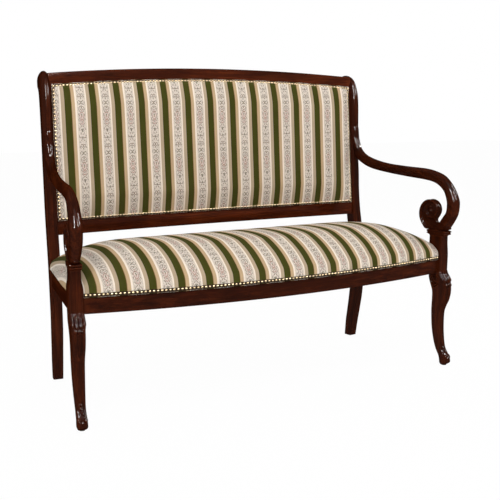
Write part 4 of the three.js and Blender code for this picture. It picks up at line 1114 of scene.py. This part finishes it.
def seatRise(widthShare, depthShare):  # how far the crown stands above the rails
    x, y = seatPlan(widthShare, depthShare, 0)
    side = (1 - np.abs(widthShare)) * sideX(y, rails["sideFace"])
    front = swell(y - frontRailFace(x), seat["frontRun"], *seatSwell["front"])
    rear = swell(rearRailRear - y, seat["rearRun"], *seatSwell["rear"])
    run = seatSideRun["front"] * (1 - depthShare) + seatSideRun["rear"] * depthShare
    return seat["crown"] * front * rear * swell(side, run, *seatSwell["side"])


def clothLength(points, axis):  # how far along the cloth each point of a grid lies from the first
    step = np.linalg.norm(np.diff(points, axis=axis), axis=-1)
    start = np.zeros_like(np.take(step, [0], axis=axis))
    return np.concatenate([start, np.cumsum(step, axis=axis)], axis=axis)


def centredLength(points):
    length = clothLength(points, 1)
    middle = points.shape[1] // 2
    return length - length[:, middle:middle + 1]


def closedSheet(upper, lower):  # points and faces of a closed pad between two grids
    rows, columns, _ = upper.shape
    top = gridFaces(rows, columns)
    under = gridFaces(rows, columns)[:, ::-1] + rows * columns
    rim = np.r_[
        np.arange(columns), columns - 1 + columns * np.arange(1, rows),
        (rows - 1) * columns + np.arange(columns - 2, -1, -1), columns * np.arange(rows - 2, 0, -1),
    ]
    beside = np.roll(rim, -1)
    sides = np.stack([rim, rim + rows * columns, beside + rows * columns, beside], -1)
    return np.concatenate([upper.reshape(-1, 3), lower.reshape(-1, 3)]), np.concatenate([top, under, sides])


settling = {"pressure": 4.0, "frames": 20, "start": 0.004, "cap": 0.006}


def settleCloth(name, grid):  # the cloth is blown against its nailed edges, then moved at most as far as the cap
    rows, columns, _ = grid.shape
    start = grid.reshape(-1, 3)
    mesh = newMesh(name + "Settling", start, gridFaces(rows, columns))
    cloth = newObject(name + "Settling", mesh)
    nailed = np.ones((rows, columns), bool)
    nailed[2:-2, 2:-2] = False
    group = cloth.vertex_groups.new(name="nailed")
    group.add([int(index) for index in np.flatnonzero(nailed)], 1.0, "REPLACE")
    blown = cloth.modifiers.new("settle", "CLOTH")
    blown.settings.use_pressure = True
    blown.settings.uniform_pressure_force = settling["pressure"]
    blown.settings.effector_weights.gravity = 0
    blown.settings.vertex_group_mass = group.name
    blown.collision_settings.use_collision = False
    blown.point_cache.frame_end = settling["frames"]
    for number in range(1, settling["frames"] + 1):
        bpy.context.scene.frame_set(number)
    settled = evaluatedMesh(cloth)
    move = meshPoints(settled) - start
    bpy.context.scene.frame_set(1)
    bpy.data.objects.remove(cloth)
    bpy.data.meshes.remove(mesh)
    bpy.data.meshes.remove(settled)
    reach = np.linalg.norm(move, axis=1, keepdims=True)
    most, mean = (round(float(size) * millimetres, 1) for size in (reach.max(), reach.mean()))
    print(name, "settled, at most", most, "mm, mean", mean, "mm")
    return grid + (move * np.minimum(1, settling["cap"] / np.maximum(reach, 1e-9))).reshape(grid.shape)


def weaveOver(across, along):
    return np.stack([across, along], -1).reshape(-1, 2)


def makeCover(name, upper, lower, place, weave, replaced, sharp=70):  # striped cloth, as one closed form
    points, faces = closedSheet(upper, lower)
    both = np.concatenate([weave, weave])
    return makePiece(name, place(points), faces, stripedCloth, replaced, weave=both, sharp=sharp)


def softenPad(piece):
    finer = piece.modifiers.new("finer", "SUBSURF")
    finer.levels = finer.render_levels = 1


def makeSeat():
    columns, rows = 121, 57
    widthShares = spread(columns, 0.5) * 2 - 1
    width, depth = np.meshgrid(widthShares, spread(rows, 0.55))
    margin = seat["gap"] + seat["cloth"]
    x, y = seatPlan(width, depth, margin)
    rise = seatRise(width, depth)
    top = np.stack([x, y, railTop + margin + rise], -1)
    top[..., 2] -= settling["start"] * rise / seat["crown"]
    top = settleCloth("seatCushion", top)

    def hem(row, height):  # the cloth goes on down over the rails, to the nails
        return np.stack([x[row], y[row], np.full(columns, height)], -1)

    drop = seatLap["front"] + margin
    front = [hem(0, railTop + margin - drop), hem(0, railTop + margin - drop / 2)]
    grid = np.concatenate([front, top, [hem(-1, railTop - seatLap["rear"])]])
    left, right = grid[:, :1].copy(), grid[:, -1:].copy()
    for edge in (left, right):
        edge[..., 2] = np.minimum(edge[..., 2], railTop - seatLap["side"])
    grid = np.concatenate([left, grid, right], axis=1)
    ends = np.clip((np.abs(np.r_[-1, widthShares, 1]) - seatCloth["endStart"]) / (1 - seatCloth["endStart"]), 0, 1)
    pull = seatCloth["pull"] + (seatCloth["endPull"] - seatCloth["pull"]) * ends**2
    across = grid[..., 0] + pull * (centredLength(grid) - grid[..., 0])
    across = (across - seatCloth["middle"]) * (stripes["repeat"] / seatCloth["repeat"])
    weave = weaveOver(across, clothLength(grid, 0) - seatCloth["start"])
    under = grid.copy()
    under[..., 2] = np.minimum(grid[..., 2] - seat["cloth"], railTop + seat["underside"])
    piece = makeCover("seatCushion", grid, under, onFloor, weave, ["seat_cover", "seat_pad"])
    softenPad(piece)


def makeBackPanel():
    columns, rows = 111, 51
    share, level = np.meshgrid(spread(columns, 0.55) * 2 - 1, spread(rows, 0.55))
    half = panelHalf(0, level * panel["height"])
    x = share * half
    height = panel["height"] + archAt(x)
    fromEdges = (1 - np.abs(share)) * half, np.minimum(level, 1 - level) * height
    across, up = (swell(gap - panel["margin"], panel["roll"], panel["round"], panel["round"]) for gap in fromEdges)
    crown = panel["crown"] - settling["start"]
    y = hollowAt(x) - seat["gap"] - panel["cloth"] - crown * across * up
    front = np.stack([x, y, level * height], -1)
    front = settleCloth("backPad", front)
    rear = front.copy()
    rear[..., 1] = hollowAt(front[..., 0]) - seat["gap"]
    weave = weaveOver(centredLength(front) - panel["clothMiddle"], clothLength(front, 0))
    piece = makeCover("backPad", front, rear, fromBack, weave, ["back_cover", "back_pad"])
    softenPad(piece)


def makeOutsideBack():
    inset, front = outside["inset"], back["thickness"] + outside["gap"]
    rear = front + outside["cloth"]
    share, level = np.meshgrid(np.linspace(-1, 1, 121), np.linspace(0, 1, 41))
    low, high = inset, panel["height"] - inset
    x = share * (panelHalf(rear, low + level * (high - low)) - inset)
    z = low + level * (high + archAt(x) - low)
    outer, inner = (np.stack([x, hollowAt(x) + depth, z], -1) for depth in (rear, front))
    weave = weaveOver(centredLength(outer), clothLength(outer, 0))
    piece = makeCover("outsideBackCloth", outer, inner, fromBack, weave, ["outside_back_cover"], sharp=60)


makeSeat()
makeBackPanel()
makeOutsideBack()
print("upholstery made")


# Nails: Geometry Nodes set a domed head at even steps along a path, with a dark link between heads as painted shade


def nailTree():
    tree = bpy.data.node_groups.new("nailRow", "GeometryNodeTree")
    for label, kind in (
        ("Path", "Geometry"), ("Pitch", "Float"), ("Head Width", "Float"), ("Head Rise", "Float"),
        ("Shade Link Width", "Float"), ("Seed", "Int"), ("Finish", "Material"),
    ):
        newSocket(tree, label, kind)
    newSocket(tree, "Nails", "Geometry", way="OUTPUT")
    nodes = Nodes(tree)
    given = nodes.add("NodeGroupInput").outputs
    curve = nodes.add("GeometryNodeMeshToCurve", {"Mesh": given["Path"]}).outputs[0]
    pitch = {"Curve": curve, "Length": given["Pitch"]}
    places = nodes.add("GeometryNodeResampleCurve", pitch, mode="LENGTH").outputs[0]
    facing = nodes.add("GeometryNodeInputNamedAttribute", {"Name": "facing"}, data_type="FLOAT_VECTOR").outputs[0]
    turned = nodes.add("FunctionNodeAlignRotationToVector", {"Vector": facing}, axis="Z").outputs[0]
    along = {"Rotation": turned, "Vector": nodes.add("GeometryNodeInputTangent").outputs[0]}
    turned = nodes.add("FunctionNodeAlignRotationToVector", along, axis="X", pivot_axis="Z").outputs[0]
    head = nodes.add("GeometryNodeMeshUVSphere", {"Segments": 12, "Rings": 8, "Radius": 0.5}).outputs[0]
    width, rise = given["Head Width"], given["Head Rise"]
    size = nodes.add("ShaderNodeCombineXYZ", {0: width, 1: width, 2: nodes.times(rise, 2.0)}).outputs[0]
    shaped = nodes.add("GeometryNodeTransform", {"Geometry": head, "Scale": size}).outputs[0]
    smooth = nodes.add("GeometryNodeSetShadeSmooth", {"Geometry": shaped}).outputs[0]
    mark = {"Geometry": smooth, "Name": "head", "Value": 1.0}
    marked = nodes.add("GeometryNodeStoreNamedAttribute", mark, data_type="FLOAT").outputs[0]
    # a dark flat link between heads: painted shade in the gaps
    span = nodes.add("ShaderNodeCombineXYZ", {0: given["Pitch"], 1: given["Shade Link Width"], 2: nodes.times(rise, 0.35)})
    link = nodes.add("GeometryNodeMeshCube", {"Size": span.outputs[0]}).outputs[0]
    joined = nodes.add("GeometryNodeJoinGeometry")
    tree.links.new(marked, joined.inputs[0])
    tree.links.new(link, joined.inputs[0])
    sizes = {2: 0.96, 3: 1.03, "Seed": given["Seed"]}
    vary = nodes.add("FunctionNodeRandomValue", sizes, data_type="FLOAT").outputs[1]
    copies = {"Points": places, "Instance": joined.outputs[0], "Rotation": turned, "Scale": vary}
    placed = nodes.add("GeometryNodeInstanceOnPoints", copies).outputs[0]
    real = nodes.add("GeometryNodeRealizeInstances", {"Geometry": placed}).outputs[0]
    done = nodes.add("GeometryNodeSetMaterial", {"Geometry": real, "Material": given["Finish"]}).outputs[0]
    tree.links.new(done, nodes.add("NodeGroupOutput").inputs[0])
    return tree


nailRow = nailTree()


def makeNails(name, path, facing, closed, node):
    line = np.concatenate([path, path[:1]]) if closed else path
    length = lengthAlong(line)[-1]
    count = round(length / nails["pitch"])
    edges = [(index, (index + 1) % len(path)) for index in range(len(line) - 1)]
    mesh = newMesh(name, path, edges=edges)
    addVectors(mesh, "facing", facing)
    carrier = newObject(name + "Path", mesh)
    modifier = carrier.modifiers.new("nails", "NODES")
    modifier.node_group = nailRow
    sockets = {item.name: item.identifier for item in nailRow.interface.items_tree if item.in_out == "INPUT"}
    values = {
        "Pitch": length / count, "Head Width": nails["head"], "Head Rise": nails["rise"],
        "Shade Link Width": nails["link"], "Seed": nails["seed"], "Finish": brass,
    }
    for label, value in values.items():
        modifier[sockets[label]] = value
    made = evaluatedMesh(carrier)
    made.name = name
    bpy.data.objects.remove(carrier)
    print(name, count, "nails,", len(made.polygons), "faces")
    finishPiece(newObject(name, made), [node])


def unit(vectors):
    return vectors / np.linalg.norm(vectors, axis=1, keepdims=True)


def seatNailPath():
    x = np.linspace(-1, 1, 241) * (frontRailHalf - nails["inset"] - nails["strip"] / 2)
    y = frontRailFace(x) - nails["seatProud"]
    z = np.full_like(x, railTop - seatLap["front"] + nails["inset"] / 2 + nails["strip"] / 2)
    slope = 2 * rails["frontBow"] * x / frontRailHalf**2
    facing = np.stack([slope, -np.ones_like(x), np.zeros_like(x)], -1)
    return onFloor(np.stack([x, y, z], -1)), unit(facing)


def panelNailPath(depth, sheetDepth, outward):
    steps = 120
    inset = nails["inset"] + nails["strip"] / 2
    t = np.linspace(0, 1, steps)
    low, high = inset, panel["height"] - inset
    halfLow, halfHigh = panelHalf(sheetDepth, low) - inset, panelHalf(sheetDepth, high) - inset
    bottom = np.stack([halfLow * (2 * t - 1), np.full(steps, low)], -1)
    top = np.stack([halfHigh * (1 - 2 * t), np.full(steps, high)], -1)
    top[:, 1] += archAt(top[:, 0])
    rise = high + archAt(halfHigh)
    right = np.stack([halfLow + (halfHigh - halfLow) * t, low + (rise - low) * t], -1)
    left = right[::-1] * [-1, 1]
    x, z = np.concatenate([bottom[:-1], right[:-1], top[:-1], left[:-1]]).T
    slope = -2 * back["hollow"] * x / backHalf**2
    facing = outward * np.stack([-slope, np.ones_like(x), np.zeros_like(x)], -1)
    places = np.stack([x, hollowAt(x) + depth, z], -1)
    return fromBack(places), unit(fromBack(places + facing) - fromBack(places))


outsideDepth = back["thickness"] + nails["outsideProud"]
makeNails("seatNails", *seatNailPath(), False, "seat_nail_strip")
makeNails("backNails", *panelNailPath(-nails["backProud"], 0, -1), True, "back_nail_strip")
makeNails("outsideNails", *panelNailPath(outsideDepth, outsideDepth, 1), True, "outside_nail_strip")


# Under and inside the seat and the back

straps = {"width": 0.05, "thickness": 0.0009, "wave": 0.0005, "lift": 0.001, "steps": 90}
hessian = {"inset": 0.01, "thickness": 0.001, "sag": 0.0}
hessian["bottom"] = railTop + 2 * plan["woodGap"] + 2 * straps["lift"]
dustCover = {"inset": 0.009, "thickness": 0.0012, "sag": 0.0035}
dustCover["bottom"] = rails["bottom"] - plan["woodGap"] - dustCover["thickness"]
seatWebbing = {"inset": 0.008, "bays": 10, "rows": 4}
backWebbing = {"inset": 0.021, "bays": 6, "rows": 3}


def makeLayer(name, sizes, material, node):  # one stretched sheet tacked to the seat rails
    share, depth = np.meshgrid(np.linspace(-1, 1, 81), np.linspace(0, 1, 31))
    x, y = seatPlan(share, depth, -sizes["inset"])
    low = sizes["bottom"] - sizes["sag"] * (1 - share**4) * (1 - (2 * depth - 1) ** 4)
    under, upper = np.stack([x, y, low], -1), np.stack([x, y, low + sizes["thickness"]], -1)
    points, faces = closedSheet(upper, under)
    piece = makePiece(name, onFloor(points), faces, material, [node], sharp=60)


def strapNet(sizes, width, depth, place):  # flat straps both ways, each over one and under the next
    across, along = np.array([0.0, 0.5, 1.0]), np.linspace(0, 1, straps["steps"])
    ways = [(sizes["bays"] + 1, width), (sizes["rows"] + 1, depth)]
    found, faces, start = [], [], 0
    for crossing, ((count, length), (other, otherLength)) in enumerate((ways, ways[::-1])):
        strap, otherStrap = straps["width"] / length, straps["width"] / otherLength
        meets = (np.arange(other) * (1 - otherStrap) / (other - 1)) + otherStrap / 2
        for number in range(count):
            low = number * (1 - strap) / (count - 1)
            over = np.interp(along, meets, [(-1) ** (number + step + crossing) for step in range(other)])
            beside, onward = np.meshgrid(low + across * strap, along)
            first, second = (beside, onward) if crossing == 0 else (onward, beside)
            lift = np.broadcast_to((np.sin(over * math.pi / 2) * straps["wave"])[:, None], first.shape)
            half = straps["thickness"] / 2
            points, sides = closedSheet(place(first, second, lift + half), place(first, second, lift - half))
            found.append(points)
            faces.append(sides + start)
            start += len(points)
    return np.concatenate(found), np.concatenate(faces)


def makeStraps():
    def onSeat(across, along, lift):
        x, y = seatPlan(2 * across - 1, along, -seatWebbing["inset"])
        return np.stack([x, y, railTop + plan["woodGap"] + straps["lift"] + lift], -1)

    width = 2 * sideX(rearRailRear, rails["sideFace"] - seatWebbing["inset"])
    depth = rearRailRear - rails["frontSetback"] - 2 * seatWebbing["inset"]
    points, faces = strapNet(seatWebbing, width, depth, onSeat)
    makePiece("seatStraps", onFloor(points), faces, jute, ["seat_webbing"], sharp=40)
    half = panelHalf(0, panel["height"]) - backWebbing["inset"]
    tall = panel["height"] - 2 * backWebbing["inset"]

    def onBack(across, along, lift):
        x = (2 * across - 1) * half
        y = hollowAt(x) - plan["woodGap"] - straps["lift"] - lift
        return np.stack([x, y, backWebbing["inset"] + along * (tall + archAt(x))], -1)

    points, faces = strapNet(backWebbing, 2 * half, tall, onBack)
    makePiece("backStraps", fromBack(points), faces, jute, ["back_webbing"], sharp=40)


makeStraps()
makeLayer("seatHessian", hessian, jute, "seat_hessian")
makeLayer("dustCloth", dustCover, cambric, "dust_cover")
print("straps and sheets made")


def dressNodes():  # the CAD nodes that still show get their finish
    finishes = {
        innerWood: (
            "arm_dowel", "front_corner_block", "rear_corner_block", "seat_brace", "back_stile", "back_upright",
        ),
        steel: ("arm_screw", "front_block_screw", "rear_block_screw"),
        felt: ("front_foot_glide", "rear_foot_glide"),
    }
    for finish, names in finishes.items():
        for name in names:
            for side in ("_left", "_right"):
                materials = frame["nodes"][name + side].data.materials
                materials.clear()
                materials.append(finish)


dressNodes()


# Floor, light and camera


lights = {
    "ambient": 0.4,
    "floor": 0.93,
    "floorGlow": 0.975,
    "floorHalf": 14,
    "lamps": [  # place, aim, width, height, power, whether it only makes highlights
        ((-2.4, -2.6, 2.0), (0, 0, 0.6), 0.3, 1.6, 26, False),
        ((2.9, -1.4, 2.0), (0, 0, 0.6), 0.3, 1.4, 18, False),
        ((-0.6, -1.9, 3.3), (0, 0, 0.4), 2.2, 1.4, 52, False),
        ((0.7, 3.0, 2.8), (0, 0, 0.5), 2.0, 1.4, 46, False),
        ((0.8, -2.8, 2.6), (0, 0, 0.6), 0.4, 1.1, 420, True),
        ((-2.2, -1.9, 2.2), (0, 0, 0.6), 0.34, 1.7, 720, True),
        ((2.4, -1.2, 2.4), (0, 0, 0.6), 0.36, 1.1, 400, True),
    ],
}


def seenDirectly(nodes):  # 1 for what the camera or a reflection sees, 0 for light that falls on the settee
    path = nodes.add("ShaderNodeLightPath").outputs
    return nodes.most([path["Is Camera Ray"], path["Is Glossy Ray"], path["Is Transmission Ray"]])


def makeFloor():
    pale = (lights["floor"],) * 3 + (1,)
    material, nodes, shader = newMaterial("paleFloor", Roughness=0.9, Specular_IOR_Level=0.1, Base_Color=pale)
    white = nodes.add("ShaderNodeEmission", {"Color": (1, 1, 1, 1), "Strength": 1.0}).outputs[0]
    plain = material.node_tree.nodes["Principled BSDF"].outputs[0]
    glow = nodes.times(seenDirectly(nodes), lights["floorGlow"])
    blend = nodes.add("ShaderNodeMixShader", {0: glow, 1: plain, 2: white}).outputs[0]
    nodes.feed(material.node_tree.nodes["Material Output"].inputs, {"Surface": blend})
    half = lights["floorHalf"]
    mesh = newMesh("floor", [(-half, -half, 0), (half, -half, 0), (half, half, 0), (-half, half, 0)], [(0, 1, 2, 3)])
    mesh.materials.append(material)
    newObject("floor", mesh)


def makeWorld():
    world = bpy.context.scene.world or bpy.data.worlds.new("world")
    bpy.context.scene.world = world
    world.use_nodes = True
    nodes = Nodes(world.node_tree)
    strength = nodes.span(seenDirectly(nodes), 0, 1, lights["ambient"], 1.0)
    nodes.feed(world.node_tree.nodes["Background"].inputs, {"Color": (1, 1, 1, 1), "Strength": strength})


def makeLights():
    for number, (place, aim, width, height, power, glossOnly) in enumerate(lights["lamps"]):
        lamp = bpy.data.lights.new(f"lamp{number}", "AREA")
        lamp.shape = "RECTANGLE"
        lamp.size, lamp.size_y = width, height
        lamp.energy = power
        holder = newObject(f"lamp{number}", lamp)
        holder.location = place
        holder.visible_diffuse = not glossOnly
        holder.rotation_euler = (Vector(aim) - Vector(place)).to_track_quat("-Z", "Y").to_euler()


# Where the photo was taken from: metres, degrees, and a focal length in pixels of a picture so many wide
view = {
    "place": (-1.285711, -2.484138, 0.895102), "yaw": 27.755, "pitch": 9.678, "roll": -0.123,
    "focus": 853.286, "pixels": 500, "sensor": 36,
}


def makeCamera():
    camera = bpy.data.cameras.new("camera")
    camera.sensor_width = view["sensor"]
    camera.lens = view["focus"] / view["pixels"] * view["sensor"]
    holder = newObject("camera", camera)
    turns = ((-view["yaw"], "Z"), (90 - view["pitch"], "X"), (view["roll"], "Z"))
    turn, tilt, roll = (Matrix.Rotation(math.radians(angle), 4, axis) for angle, axis in turns)
    holder.matrix_world = Matrix.Translation(view["place"]) @ turn @ tilt @ roll
    bpy.context.scene.camera = holder


makeFloor()
makeWorld()
makeLights()
makeCamera()
bpy.context.scene.view_settings.view_transform = "Standard"
bpy.context.view_layer.update()
print("scene made")
